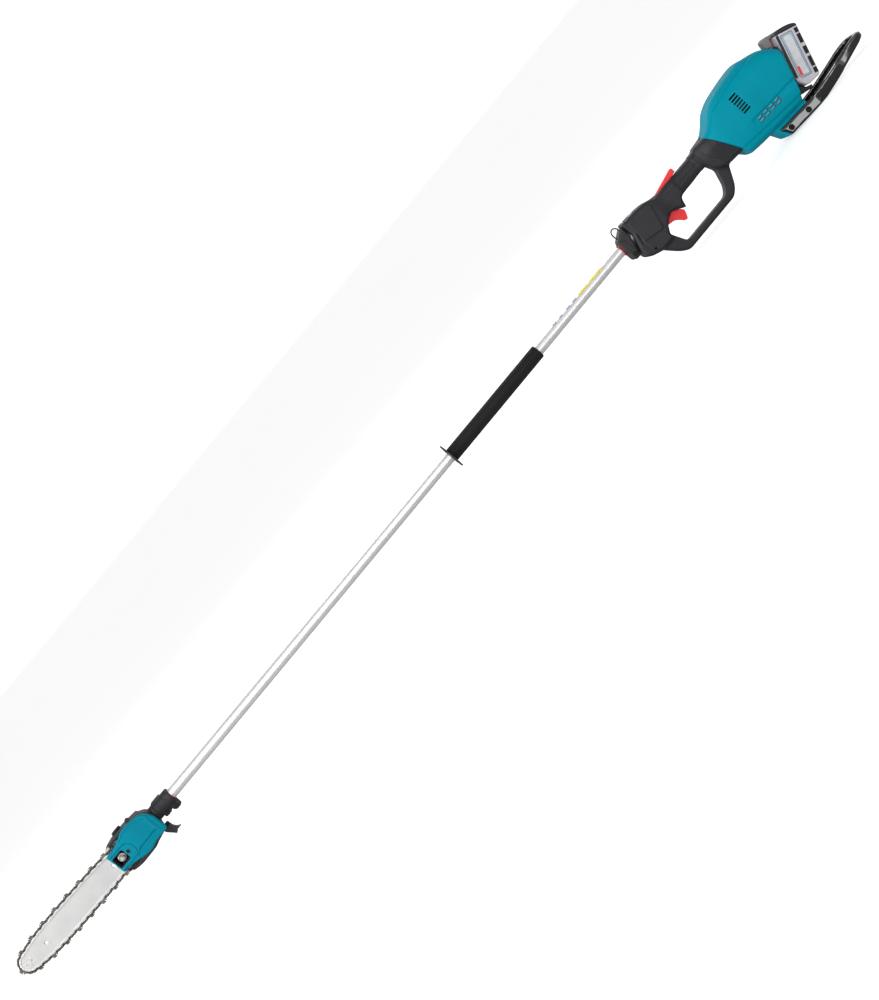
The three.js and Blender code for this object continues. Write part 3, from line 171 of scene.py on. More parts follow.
COVER_TEAL = material("cover_teal", (0.0001, 0.19, 0.27), 0.33, tint=0.07, grain=(900, 0.1, 0.00008),
    wear=0.15, shine=0.06)
CUTTER_CHROME = material("cutter_chrome", (0.2, 0.19, 0.17), 0.34, 1.0, tint=0.25, patch=300, grain=(1200,
    0.3, 0.0001))
LABEL_BLUE = material("label_frame", (0.11, 0.24, 0.34), 0.4, tint=0.1)
LABEL_FIELD = material("label_field", (0.62, 0.64, 0.66), 0.35, tint=0.1, patch=90)
BLACKENED = material("blackened_steel", (0.016, 0.016, 0.016), 0.4, 0.5, tint=0.2, grain=(1200, 0.3,
    0.00006), patch=120)
LATCH_GREY = material("latch_grey", (0.2, 0.2, 0.205), 0.5, tint=0.15, grain=(1100, 0.4, 0.0001), wear=0.3)
# painted highlight: a lighter copy of the housing teal for the louvre fins, standing in for the light that
# their faces catch
LIT_LOUVRE_TEAL = material("louvre_teal_painted_highlight", (0.02, 0.42, 0.53), 0.35, tint=0.06, grain=(900, 0.1, 0.00008),
    wear=0.2)
NUT_STEEL = material("nut_steel", (0.4, 0.395, 0.39), 0.34, 1.0, tint=0.12, grain=(1200, 0.3, 0.00006),
    patch=90)
YELLOW_FILM = material("yellow_film", (0.86, 0.68, 0.02), 0.35, tint=0.08, patch=60)
BLUE_FILM = material("blue_film", (0.32, 0.38, 0.55), 0.35, tint=0.25, patch=200)

for subpart in frame["record"]["subparts"]:
    node = frame["nodes"][subpart["node"]]
    node.data.materials.clear()
    node.data.materials.append(FINISH[subpart["material_slot"]])


# ---------------------------------------------------------------- pieces
def piece(name, points, face_sizes, corners, body, slot, replaced=(), finish=None, sharp=None):
    """A mesh from points in layout millimetres. It rides on a body and may stand for CAD nodes."""
    mesh = bpy.data.meshes.new(name)
    mesh.vertices.add(len(points))
    mesh.vertices.foreach_set("co", (np.asarray(points) / 1000 + ORIGIN).astype(np.float32).ravel())
    mesh.loops.add(len(corners))
    mesh.loops.foreach_set("vertex_index", np.asarray(corners, np.int32))
    mesh.polygons.add(len(face_sizes))
    starts = np.concatenate(([0], np.cumsum(face_sizes)[:-1])).astype(np.int32)
    mesh.polygons.foreach_set("loop_start", starts)
    mesh.update(calc_edges=True)
    mesh.validate()
    mesh.polygons.foreach_set("use_smooth", np.ones(len(mesh.polygons), bool))
    if sharp is not None:
        work = bmesh.new()
        work.from_mesh(mesh)
        bmesh.ops.recalc_face_normals(work, faces=work.faces)
        work.to_mesh(mesh)
        work.free()
        mesh.set_sharp_from_angle(angle=math.radians(sharp))
    mesh.materials.append(finish or FINISH[slot])
    made = bpy.data.objects.new(name, mesh)
    bpy.context.scene.collection.objects.link(made)
    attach(made, body)
    if replaced:
        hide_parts(*replaced)
    return made


class Grid:
    """Sample points over a box, as three arrays that broadcast against each other."""

    def __init__(self, low, high, step):
        self.step = step
        self.low = np.array(low, float) - 2 * step
        count = np.ceil((np.array(high) - np.array(low)) / step).astype(int) + 5
        axes = [(self.low[i] + step * np.arange(count[i])).astype(np.float32) for i in range(3)]
        self.shape = tuple(count)
        self.x = axes[0][:, None, None]
        self.y = axes[1][None, :, None]
        self.z = axes[2][None, None, :]


def rounded(corners):
    """The points of a closed outline given as [x, z] or [x, z, fillet radius]."""
    points = []
    for i, corner in enumerate(corners):
        here = np.array(corner[:2], float)
        radius = corner[2] if len(corner) > 2 else 0
        before = np.array(corners[i - 1][:2], float) - here
        after = np.array(corners[(i + 1) % len(corners)][:2], float) - here
        reach = min(radius, 0.45 * np.linalg.norm(before), 0.45 * np.linalg.norm(after))
        if reach <= 0:
            points.append(here)
            continue
        a = here + before / np.linalg.norm(before) * reach
        b = here + after / np.linalg.norm(after) * reach
        for t in (0, 0.2, 0.4, 0.6, 0.8, 1):
            points.append(a * (1 - t) ** 2 + here * 2 * t * (1 - t) + b * t * t)
    return points


def outline(x, z, corners):
    """Signed distance to a closed outline in a plane, negative inside."""
    points = rounded(corners)
    shape = np.broadcast(x, z).shape
    inside = np.zeros(shape, bool)
    best = np.full(shape, 1e9, np.float32)
    for a, b in zip(points, points[1:] + points[:1]):
        ex, ez = float(b[0] - a[0]), float(b[1] - a[1])
        wx, wz = x - float(a[0]), z - float(a[1])
        t = np.clip((wx * ex + wz * ez) / max(ex * ex + ez * ez, 1e-9), 0, 1)
        best = np.minimum(best, (wx - ex * t) ** 2 + (wz - ez * t) ** 2)
        crosses = (z < a[1]) != (z < b[1])
        inside ^= crosses & (wx * (ez or 1e-9) < ex * wz) if ez > 0 else crosses & (wx * (ez or 1e-9) > ex *
            wz)
    return np.where(inside, -1, 1).astype(np.float32) * np.sqrt(best)


def extrude(side, across, low, high, edge=0.0):
    """A flat field given a thickness from low to high, its edges rounded by edge."""
    a = side + edge
    b = np.abs(across - (low + high) / 2) - (high - low) / 2 + edge
    return np.minimum(np.maximum(a, b), 0) + np.hypot(np.maximum(a, 0), np.maximum(b, 0)) - edge


def from_side(grid, corners):
    """Signed distance to an outline of [x, z] corners, the same all the way across."""
    return outline(grid.x, grid.z, corners)


def slab(grid, corners, low, high, edge=0.0):
    """A side outline given a thickness along y."""
    return extrude(from_side(grid, corners), grid.y, low, high, edge)


def join(a, *others, soft=0.0):
    """The union of fields; soft fillets where they meet."""
    for b in others:
        low = np.minimum(a, b)
        a = low - np.maximum(soft - np.abs(a - b), 0) ** 2 / (4 * soft) if soft else low
    return a


def cut(a, *others, soft=0.0):
    """The first field with the others taken away."""
    for b in others:
        a = -join(-a, b, soft=soft)
    return a


def overlap(a, b, soft=0.0):
    """What two fields have in common."""
    return -join(-a, -b, soft=soft)


def block(grid, low, high, edge=0.0):
    """A box with rounded edges."""
    inner = [np.abs(p - (a + b) / 2) - (b - a) / 2 + edge for p, a, b in zip((grid.x, grid.y, grid.z), low,
        high)]
    outside = np.sqrt(sum(np.maximum(d, 0) ** 2 for d in inner))
    return outside + np.minimum(np.maximum(np.maximum(inner[0], inner[1]), inner[2]), 0) - edge


def rod(grid, axis, centre, radius, low, high, edge=0.0):
    """A cylinder along x, y or z; centre is on the other two axes, in order."""
    along = {"x": grid.x, "y": grid.y, "z": grid.z}[axis]
    a, b = [v for k, v in (("x", grid.x), ("y", grid.y), ("z", grid.z)) if k != axis]
    return extrude(np.hypot(a - centre[0], b - centre[1]) - radius, along, low, high, edge)


def smooth_step(value, low, high):
    """0 up to low, 1 from high, and a smooth rise between them."""
    t = np.clip((value - low) / (high - low), 0, 1)
    return t * t * (3 - 2 * t)


def groove(grid, line, width):
    """1 on a line of [x, z] points seen from the side, falling to 0 at width from it."""
    best = np.float32(1e9)
    for a, b in zip(line, line[1:]):
        ex, ez = b[0] - a[0], b[1] - a[1]
        wx, wz = grid.x - a[0], grid.z - a[1]
        t = np.clip((wx * ex + wz * ez) / (ex * ex + ez * ez), 0, 1)
        best = np.minimum(best, (wx - ex * t) ** 2 + (wz - ez * t) ** 2)
    return 1 - smooth_step(np.sqrt(best), 0, width)


FLATTEN = 0.01  # how readily faces that lie nearly in one plane are merged


def surface(name, grid, field, body, slot, replaced=(), finish=None, place=None, merge=FLATTEN):
    """The skin of a field as a piece. place carries the grid's points into the layout."""
    reach = 3 * grid.step
    full = np.broadcast_to(np.clip(field, -reach, reach), grid.shape).astype(np.float32).copy()
    for axis in range(3):
        for end in (0, -1):
            full[tuple(end if i == axis else slice(None) for i in range(3))] = reach
    volume = openvdb.FloatGrid(reach)
    volume.copyFromArray(full)
    points, triangles, quads = volume.convertToPolygons(isovalue=0.0, adaptivity=merge)
    points = np.asarray(points, float) * grid.step + grid.low
    if place:
        points = place(points)
    corners = np.concatenate([triangles.ravel(), quads.ravel()]).astype(np.int64)
    sizes = np.concatenate([np.full(len(triangles), 3), np.full(len(quads), 4)]).astype(np.int64)
    fan = np.concatenate([triangles, quads[:, :3], quads[:, [0, 2, 3]]])
    a, b, c = (points[fan[:, i]] for i in range(3))
    if np.einsum("ij,ij->i", a, np.cross(b, c)).sum() < 0:
        corners = np.concatenate([triangles[:, ::-1].ravel(), quads[:, ::-1].ravel()])
    return piece(name, points, sizes, corners, body, slot, replaced, finish)


def skin(rings, loop=False):
    """Faces over rings of points with the same count; an open row of rings gets end caps."""
    count = len(rings[0])
    points = np.concatenate([np.asarray(r, float) for r in rings])
    faces = []
    for r in range(len(rings) if loop else len(rings) - 1):
        s = (r + 1) % len(rings)
        faces += [(r * count + i, r * count + (i + 1) % count, s * count + (i + 1) % count, s * count + i)
            for i in range(count)]
    if not loop:
        faces.append(tuple(range(count))[::-1])
        faces.append(tuple((len(rings) - 1) * count + i for i in range(count)))
    return points, faces


def gather(name, parts, body, slot, replaced=(), finish=None, sharp=35):
    """One piece from several (points, faces) parts."""
    points, sizes, corners, base = [], [], [], 0
    for part_points, faces in parts:
        points.append(np.asarray(part_points, float))
        sizes += [len(f) for f in faces]
        corners += [base + i for f in faces for i in f]
        base += len(part_points)
    return piece(name, np.concatenate(points), sizes, corners, body, slot, replaced, finish, sharp)


def turned(profile, axis, centre, count=64, swell=None):
    """A profile of [along, radius] turned about an axis; swell changes the radius by angle."""
    rings = []
    for along, radius in profile:
        angle = np.arange(count) / count * 2 * np.pi
        size = radius * (swell(angle, along) if swell else 1)
        a, b = size * np.cos(angle), size * np.sin(angle)
        flat = np.full(count, float(along))
        order = {"x": (flat, a + centre[0], b + centre[1]), "y": (a + centre[0], flat, b + centre[1]), "z":
            (a + centre[0], b + centre[1], flat)}[axis]
        rings.append(np.stack(order, 1))
    return rings


def leaning(angle, origin=(0.0, 0.0, 0.0)):
    """Carries points of a frame turned about Y by angle into the layout."""
    c, s = math.cos(angle), math.sin(angle)

    def place(p):
        p = np.asarray(p, float)
        return np.stack([p[:, 0] * c + p[:, 2] * s + origin[0], p[:, 1] + origin[1], -p[:, 0] * s + p[:, 2]
            * c + origin[2]], 1)

    return place


# ---------------------------------------------------------------- guide bar and chain
STUD = (-211.5, -21.0, -2.0)
TENSION_SCREW = (-190.7, -2)
TRIGGER_PIN, LEVER_PIN = (1571, -23), (1595, 17)
OIL_FILLER = (-188, 15)
SEAM_HALF = 0.15
BAR_TILT = math.radians(1.7)
NOSE_REACH, NOSE_RADIUS = 301.0, 20.0
BAR_HALF = 2
on_bar = leaning(BAR_TILT, STUD)
BAR_KNOTS = [(-36, 12), (-24, 17), (0, 21.5), (26, 26.2), (80, 28), (170, 29), (240, 27.5), (275, 24),
    (NOSE_REACH, NOSE_RADIUS)]


def spline(knots, count):
    """Points of a Catmull-Rom curve through the knots."""
    knots = np.array(knots, float)
    made = []
    for t in np.linspace(0, len(knots) - 1, count):
        i = min(int(t), len(knots) - 2)
        p0, p1, p2, p3 = (knots[min(max(i + k, 0), len(knots) - 1)] for k in (-1, 0, 1, 2))
        w = t - i
        v0, v1 = (p2 - p0) / 2, (p3 - p1) / 2
        made.append((2 * p1 - 2 * p2 + v0 + v1) * w**3 + (-3 * p1 + 3 * p2 - 2 * v0 - v1) * w**2 + v0 * w +
            p1)
    return np.array(made)


def bar_loop():
    """The guide bar's edge in its own frame, as a closed row of [x, z] points."""
    top = spline(BAR_KNOTS, 60) * (-1, 1)
    turn = np.pi / 2 - np.arange(1, 24) / 24 * np.pi
    nose = np.stack([-NOSE_REACH - NOSE_RADIUS * np.cos(turn), NOSE_RADIUS * np.sin(turn)], 1)
    return np.concatenate([top, nose, (top * (1, -1))[::-1]])


def pushed_out(loop, distance):
    """A closed row of points moved outwards by distance."""
    along = np.roll(loop, -1, 0) - np.roll(loop, 1, 0)
    along /= np.linalg.norm(along, axis=1)[:, None]
    area = (loop[:, 0] * np.roll(loop[:, 1], -1) - np.roll(loop[:, 0], -1) * loop[:, 1]).sum()
    return loop + np.stack([-along[:, 1], along[:, 0]], 1) * (-distance * np.sign(area))


def in_bar_frame(x, z):
    """Layout positions as positions along and across the leaning bar."""
    c, s = math.cos(BAR_TILT), math.sin(BAR_TILT)
    dx, dz = x - STUD[0], z - STUD[2]
    return dx * c - dz * s, dx * s + dz * c


SPROCKET_X = -150.0
CHAIN_GAP, CHAIN_HEIGHT = 0.5, 6.2
CUTTER_SPACING, LINKS_PER_CUTTER = 38.1, 4
WRAP_RADIUS, WRAP_PAST_HALF = 18.5, 0.15  # where the chain goes round the drive sprocket
BAR_TRAVEL = 6


def chain_loop():
    """The chain's inner edge round bar and drive sprocket, in the bar's frame."""
    centre = np.array(in_bar_frame(SPROCKET_X, 0))
    on_edge = pushed_out(bar_loop(), CHAIN_GAP)
    on_edge = on_edge[on_edge[:, 0] < -10]
    turn = -np.pi / 2 - WRAP_PAST_HALF + np.arange(25) / 24 * (np.pi + 2 * WRAP_PAST_HALF)
    wrap = np.stack([np.cos(turn), np.sin(turn)], 1) * WRAP_RADIUS + centre
    return np.concatenate([on_edge, wrap])


def guide_bar():
    """The laminated bar with its slot, tension holes, rail groove and nose rivets."""
    grid = Grid((-322, -2.1, -30), (37, 2.1, 30), 0.4)
    edge = from_side(grid, bar_loop())
    body = extrude(edge, grid.y, -BAR_HALF, BAR_HALF, 0.35)
    body = body + 0.3 * smooth_step(-edge, 3.2, 3.8)  # the faces lie a little below the hardened rails
    slot = join(slab(grid, [[-28, -4.4], [27, -4.4], [27, 4.4], [-28, 4.4]], -5, 5), rod(grid, "y", (-28,
        0), 4.4, -5, 5), rod(grid, "y", (27, 0), 4.4, -5, 5))
    holes = join(rod(grid, "y", (14, -13), 2.9, -5, 5), rod(grid, "y", (14, 13), 2.9, -5, 5), rod(grid, "y",
        (-246, 0), 3, -5, 5))
    rail_groove = np.maximum(-(edge + 5.0), np.abs(grid.y) - 0.8)
    nose_slot = join(rod(grid, "y", (-NOSE_REACH, 0), 20.5, -1, 1), block(grid, (-NOSE_REACH - 30, -1, -30),
        (-NOSE_REACH, 1, 30)))
    nose_slot = cut(nose_slot, rod(grid, "y", (-NOSE_REACH, 0), 5, -1.2, 1.2))
    field = cut(body, slot, holes, rail_groove, nose_slot)
    surface("guide_bar_blade", grid, field, "bar", "bright_steel", ["guide_bar"], SATIN_BAR, on_bar, 0.05)
    heads = []
    for dx, dz in ((0, 7.5), (7.5, 0), (0, -7.5), (-7.5, 0)):
        for side in (-1, 1):
            profile = [(side * 1.5, 2.1), (side * 1.98, 2.1), (side * 2.05, 1.7)]
            points, faces = skin(turned(profile, "y", (-NOSE_REACH + dx, dz), 24))
            heads.append((on_bar(points), faces))
    gather("nose_rivets", heads, "bar", "bright_steel")


def plate_part(corners, low, high, chamfer=0.25):
    """A thin link from its outline in [along, out], with chamfered edges, between two heights across."""
    points = np.array(corners, float)
    inner = pushed_out(points, -chamfer)
    step = chamfer if high > low else -chamfer
    rings = [np.stack([p[:, 0], np.full(len(p), y), p[:, 1]], 1) for p, y in ((inner, low), (points, low +
        step), (points, high - step), (inner, high))]
    return skin(rings)


def peanut(pitch, radius, centre, waist, low=None):
    """The outline of a link that holds two rivets; low adds a drive tang that reaches down to it."""
    top = [(-pitch / 2 + radius * math.cos(a), centre + radius * math.sin(a)) for a in np.radians([180, 150,
        120, 95, 70])]
    top.append((0, centre + waist))
    top += [(-x, z) for x, z in top[-2::-1]]
    bottom = [(x, 2 * centre - z) for x, z in top[::-1][1:-1]]
    if low is not None:
        bottom = [(pitch / 2 + 1, centre - radius * 0.9), (pitch / 4, 0), (0.8, low), (-0.8, low), (-pitch /
            4, 0), (-pitch / 2 - 1, centre - radius * 0.9)]
    return (top + bottom)[::-1]


def saw_chain():
    """Drive links, tie straps, cutters by turns left and right, and rivets, seated along the loop."""
    loop = chain_loop()
    closed = np.concatenate([loop, loop[:1]])
    reach = np.concatenate([[0], np.cumsum(np.linalg.norm(np.diff(closed, axis=0), axis=1))])
    links = LINKS_PER_CUTTER * round(reach[-1] / CUTTER_SPACING)
    pitch = reach[-1] / links

    def at(distance):
        distance = distance % reach[-1]
        return np.array([np.interp(distance, reach, closed[:, k]) for k in (0, 1)])

    sign = -np.sign((loop[:, 0] * np.roll(loop[:, 1], -1) - np.roll(loop[:, 0], -1) * loop[:, 1]).sum())

    def seated(part, middle):
        a, b = at(middle - pitch / 2), at(middle + pitch / 2)
        along = (b - a) / np.linalg.norm(b - a)
        out = np.array([-along[1], along[0]]) * sign
        points, faces = part
        centre = (a + b) / 2
        flat = centre + points[:, :1] * along + points[:, 2:] * out
        return on_bar(np.stack([flat[:, 0], points[:, 1], flat[:, 1]], 1)), faces

    middle_height = 3.1
    strap = peanut(pitch, 2.7, middle_height, 2.0)
    drive = peanut(pitch, 2.6, middle_height, 1.6, low=-3.6)
    side_plate = [(-6.6, 0.6), (-7.2, 3), (-6.4, 5.0), (-5.2, 8.6), (3.2, 9.0), (2.4, 5.6), (3.4, 4.6),
        (4.4, 5.4), (5.2, 7.8), (6.6, 8.2), (7.4, 6.0), (7.3, 2.6), (6.6, 0.6), (1.5, 1.1), (-1.5, 1.1)]
    dark, bright, rivets = [], [], []
    for i in range(links):
        middle = (i + 0.5) * pitch
        if i % 2 == 0:
            dark.append(seated(plate_part(drive, -0.65, 0.65), middle))
            continue
        kind = i // 2 % 4
        for side in (-1, 1):
            is_cutter = (kind == 0 and side == -1) or (kind == 2 and side == 1)
            low, high = sorted((side * 0.75, side * 1.95))
            if is_cutter:
                bright.append(seated(plate_part(side_plate[::-1], low, high), middle))
                top = [(-5.3, 8.1), (-5.2, 9.0), (3.5, 9.35), (3.9, 8.9), (3.3, 8.5)]
                inner, outer = sorted((-side * 0.9, side * 2.3))
                bright.append(seated(plate_part(top[::-1], inner, outer, 0.15), middle))
            else:
                dark.append(seated(plate_part(strap, low, high), middle))
        for end in (-0.5, 0.5):
            for side in (-1, 1):
                profile = [(side * 1.9, 1.45), (side * 2.15, 1.35), (side * 2.25, 0.9)]
                points, faces = skin(turned(profile, "y", (0, 0), 10))
                points[:, 2] += middle_height
                points[:, 0] += end * pitch
                rivets.append(seated((points, faces), middle))
    gather("chain_links", dark, "bar", "dark_steel", ["saw_chain"], sharp=40)
    gather("chain_cutters", bright, "bar", "dark_steel", finish=CUTTER_CHROME, sharp=40)
    gather("chain_rivets", rivets, "bar", "dark_steel", finish=CUTTER_CHROME, sharp=40)


# ---------------------------------------------------------------- gear head
COVER_CORNERS = [[-233, 24, 4], [-203, 25, 10], [-172, 36, 14], [-155, 38, 12], [-116, 31, 12], [-100, 8,
    14], [-100, -27, 4], [-103, -35, 3], [-138, -35, 8], [-155, -40, 12], [-176, -37, 10], [-204, -27.5,
    10], [-233, -25.5, 4]]
COVER_PANEL = [[-250, 17.6], [-187, 17.6, 6], [-176, 10.6, 5], [-172.5, 0, 8], [-173.5, -14.5, 6], [-180,
    -25, 5], [-250, -25.4]]
POCKET = [[-229, 12, 4], [-197.5, 12, 4], [-197.5, -16, 4], [-229, -16, 4]]


def chain_room(grid):
    """The room round the chain while the bar slides back, seen from the side."""
    rooms = []
    for travel in (0, BAR_TRAVEL):
        x, z = in_bar_frame(grid.x - travel, grid.z)
        rooms.append(outline(x, z, chain_loop()) - CHAIN_HEIGHT - 6)
    return join(*rooms)


def sprocket_cover():
    """The domed cover over the drive sprocket, with the pocket for its nut."""
    grid = Grid((-234, -44, -41), (-99, -22, 39), 0.4)
    side = from_side(grid, COVER_CORNERS)
    face = from_side(grid, COVER_PANEL)
    body = extrude(side, grid.y, -43, -29.3, 4.5)
    front = smooth_step(-grid.y, 36, 38)
    body = body + front * (1.3 * smooth_step(-face, 0, 0.8) + 1.1 * smooth_step(-np.abs(face + 1.7), -1.7,
        -0.6))
    body = body + front * 2.1 * groove(grid, [[-181, -25.5], [-170, -18.2], [-117, -17.4]], 2.6)
    body = body + front * 1.1 * smooth_step(grid.x, -111.5, -108.5) * smooth_step(-side, 0, 3)
    body = body + front * 1.0 * groove(grid, [[-186, 25], [-166, 31], [-140, 29], [-122, 22], [-115, 15]],
        2.4)
    shell = cut(body, extrude(side + 3, grid.y, -40, -20, 1))
    ridge = slab(grid, [[-117.5, 15], [-113, 15], [-113, -16.5], [-117.5, -16.5]], -43.7, -41, 1.0)
    boss = slab(grid, [[-231, 14, 4], [-180, 14, 4], [-180, -18, 4], [-231, -18, 4]], -41, -23.3, 0.5)
    pocket = slab(grid, POCKET, -46, -32, 0.5)
    holes = join(rod(grid, "y", (STUD[0], STUD[2]), 4.3, -50, 0), rod(grid, "y", TENSION_SCREW, 4.3, -50,
        0), slab(grid, [[-200.7, -18.6, 2], [-188.3, -18.6, 2], [-188.3, -12.2, 2], [-200.7, -12.2, 2]],
        -30, 0))
    rim = rod(grid, "y", TENSION_SCREW, 5.6, -42.2, -40, 0.4)
    field = cut(join(shell, overlap(boss, side), ridge, rim, soft=0.8), pocket, holes)
    surface("sprocket_cover_shell", grid, field, "cover", "teal_plastic", ["sprocket_cover"], COVER_TEAL)
    lined = Grid((-230, -42.5, -17), (-196, -31, 13), 0.3)
    window = from_side(lined, POCKET)
    tray = cut(extrude(window + 0.05, lined.y, -41.0, -32.02), extrude(window + 1.0, lined.y, -50, -32.3),
        rod(lined, "y", (STUD[0], STUD[2]), 4.3, -50, 0))
    surface("nut_pocket_liner", lined, tray, "cover", "black_plastic", merge=0.02)


def hex_ring(radius, count=24):
    """Points round a hexagon, evenly by angle."""
    angle = np.arange(count) / count * 2 * np.pi
    return radius * math.cos(np.pi / 6) / np.cos((angle + np.pi / 6) % (np.pi / 3) - np.pi / 6)


def bar_nut():
    """A flanged hexagon nut with a chamfered top."""
    angle = np.arange(24) / 24 * 2 * np.pi

    def ring(y, size):
        return np.stack([STUD[0] + size * np.cos(angle), np.full(24, y), STUD[2] + size * np.sin(angle)], 1)

    hexagon = hex_ring(7.5)
    rings = [ring(-32.35, np.full(24, 9.2)), ring(-32.7, np.full(24, 9.8)), ring(-33.6, np.full(24, 9.8)),
        ring(-34.3, np.full(24, 8.6)), ring(-34.5, hexagon), ring(-39.8, hexagon), ring(-40.5,
        np.minimum(hexagon, 6.7)), ring(-40.5, np.full(24, 4.6)), ring(-39.9, np.full(24, 4.3)),
        ring(-32.35, np.full(24, 4.3))]
    gather("bar_nut_flanged", [skin(rings, loop=True)], "nut", "bright_steel", ["bar_nut"], NUT_STEEL,
        sharp=30)


CASE_CORNERS = [[-234, 20], [-231, 32, 7], [-205, 38, 12], [-160, 38, 12], [-120, 32, 14], [-106, 22, 9],
    [-104.6, -20, 5], [-110, -36, 6], [-138, -41, 5], [-150, -45, 9], [-200, -46, 14], [-234, -36, 5]]


def gear_head():
    """Gear case, oil tank, filler cap and the horn under the neck."""
    grid = Grid((-235, -29.5, -47), (-104, 23, 44.5), 0.55)
    case = slab(grid, CASE_CORNERS, -29, 0, 2.5)
    room = extrude(chain_room(grid), grid.y, -40, -15.7)
    socket = overlap(rod(grid, "x", (0, 0), 18.5, SPROCKET_X, -104.9, 1), grid.y * 0 - 1)
    chamber = rod(grid, "y", (SPROCKET_X, 0), 26, -16, 22, 1.5)
    ribs = join(*[block(grid, (x - 1.2, -29, 20), (x + 1.2, 3, 39.6), 0.8) for x in (-140, -131, -122)])
    lug = rod(grid, "y", (-150, 38.5), 5, -13, -4, 1)
    pad = slab(grid, [[-224, 12, 3], [-182, 12, 3], [-182, -18, 3], [-224, -18, 3]], -18.7, -15)
    body = join(join(case, socket, chamber, soft=4), overlap(ribs, case - 1.2), lug, soft=1.5)
    body = join(cut(body, room), pad)
    holes = join(rod(grid, "y", (SPROCKET_X, 0), 21, -4, 24), rod(grid, "y", (SPROCKET_X, 0), 9.8, -12.3,
        -3), rod(grid, "y", (SPROCKET_X, 0), 5.4, -18, -10), rod(grid, "x", (0, 0), 13.5, SPROCKET_X, -100),
        rod(grid, "y", (STUD[0], STUD[2]), 4.4, -22, 2), rod(grid, "y", TENSION_SCREW, 3.6, -22, -6),
        block(grid, (-201.5, -20, -18.8), (-188, -9, -12)))
    seam = 0.7 * (1 - smooth_step(np.abs(grid.y + 14.5), 0, 0.9))
    surface("gear_case_body", grid, cut(body + seam, holes), "frame", "black_plastic", ["gear_case"])

    grid = Grid((-237, 0, -47), (-129, 31, 39), 0.6)
    side = from_side(grid, [[-236, 20], [-232, 33, 7], [-205, 37.5, 10], [-165, 37.5, 6], [-130, 33.5, 3],
        [-130, 27.5, 2], [-177.5, 27.5, 3], [-177.5, -44.5, 4], [-200, -45.5, 12], [-236, -35, 5]])
    tank = extrude(side, grid.y, 0.3, 30, 4)
    window = slab(grid, [[-221, 14, 3], [-184, 14, 3], [-184, -30, 3], [-214, -30, 6]], 28.8, 32, 0.4)
    tank = cut(tank, window, soft=0.8)
    tank = cut(tank, rod(grid, "z", OIL_FILLER, 8, 30, 45), rod(grid, "y", (STUD[0], STUD[2]), 4.3, -1, 3))
    surface("oil_tank_shell", grid, tank, "frame", "black_plastic", ["oil_tank"])

    cap = Grid((-202, 1, 32), (-174, 29, 44), 0.3)
    angle = np.arctan2(cap.y - 15, cap.x + 188)
    reach = np.hypot(cap.x + 188, cap.y - 15)
    knurl = 12.5 - 0.55 * np.maximum(0, np.cos(angle * 18)) ** 2
    field = join(extrude(reach - knurl, cap.z, 38.2, 42, 0.6), rod(cap, "z", OIL_FILLER, 7.6, 33, 39),
        block(cap, (-198, 13.4, 40), (-178, 16.6, 43.4), 0.8))
    surface("oil_cap_knurled", cap, field, "oil_cap", "black_rubber", ["oil_cap"])

    hook = Grid((-122, -10, -64), (-84, 6, -29), 0.4)
    blade = from_side(hook, [[-120, -41.6], [-106, -63.5, 1.5], [-102, -62, 1], [-99.5, -58.8, 1], [-85.4,
        -59, 1], [-94, -53.5, 4], [-99, -46, 5], [-100.5, -37, 2], [-106.5, -36.5], [-109, -37.2]])
    tab = from_side(hook, [[-121, -41.6], [-100, -42], [-100, -30, 3], [-121, -30, 3]])
    waist = 2.2 * smooth_step(-hook.z, 46, 58)
    field = join(extrude(blade, hook.y, -9, 5, 1.5) + waist * 0.25, extrude(tab, hook.y, 0.3, 5, 0.6),
        soft=2)
    surface("branch_hook_horn", hook, field, "frame", "black_plastic", ["branch_hook"])


# ---------------------------------------------------------------- pole, clamps and front grip
HAND_STOP_FRONT = 886.2
GRIP_FRONT, GRIP_REAR = 891.5, 1180


def socket_screw(x, z, shank, head, tail, body="frame"):
    """A socket head screw along Y, its head on the left."""
    size = shank * 1.6
    hexagon = hex_ring(shank * 0.78)
    angle = np.arange(24) / 24 * 2 * np.pi

    def ring(y, radius):
        radius = np.broadcast_to(radius, 24)
        return np.stack([x + radius * np.cos(angle), np.full(24, y), z + radius * np.sin(angle)], 1)

    low = head - shank * 1.4
    rings = [ring(low + 1.8, 0.01), ring(low + 1.8, hexagon * 0.98), ring(low + 0.2, hexagon), ring(low,
        hexagon * 1.06), ring(low, size * 0.9), ring(low + 0.35, size), ring(head, size), ring(head, shank),
        ring(tail - 0.5, shank), ring(tail, shank * 0.85)]
    return skin(rings)


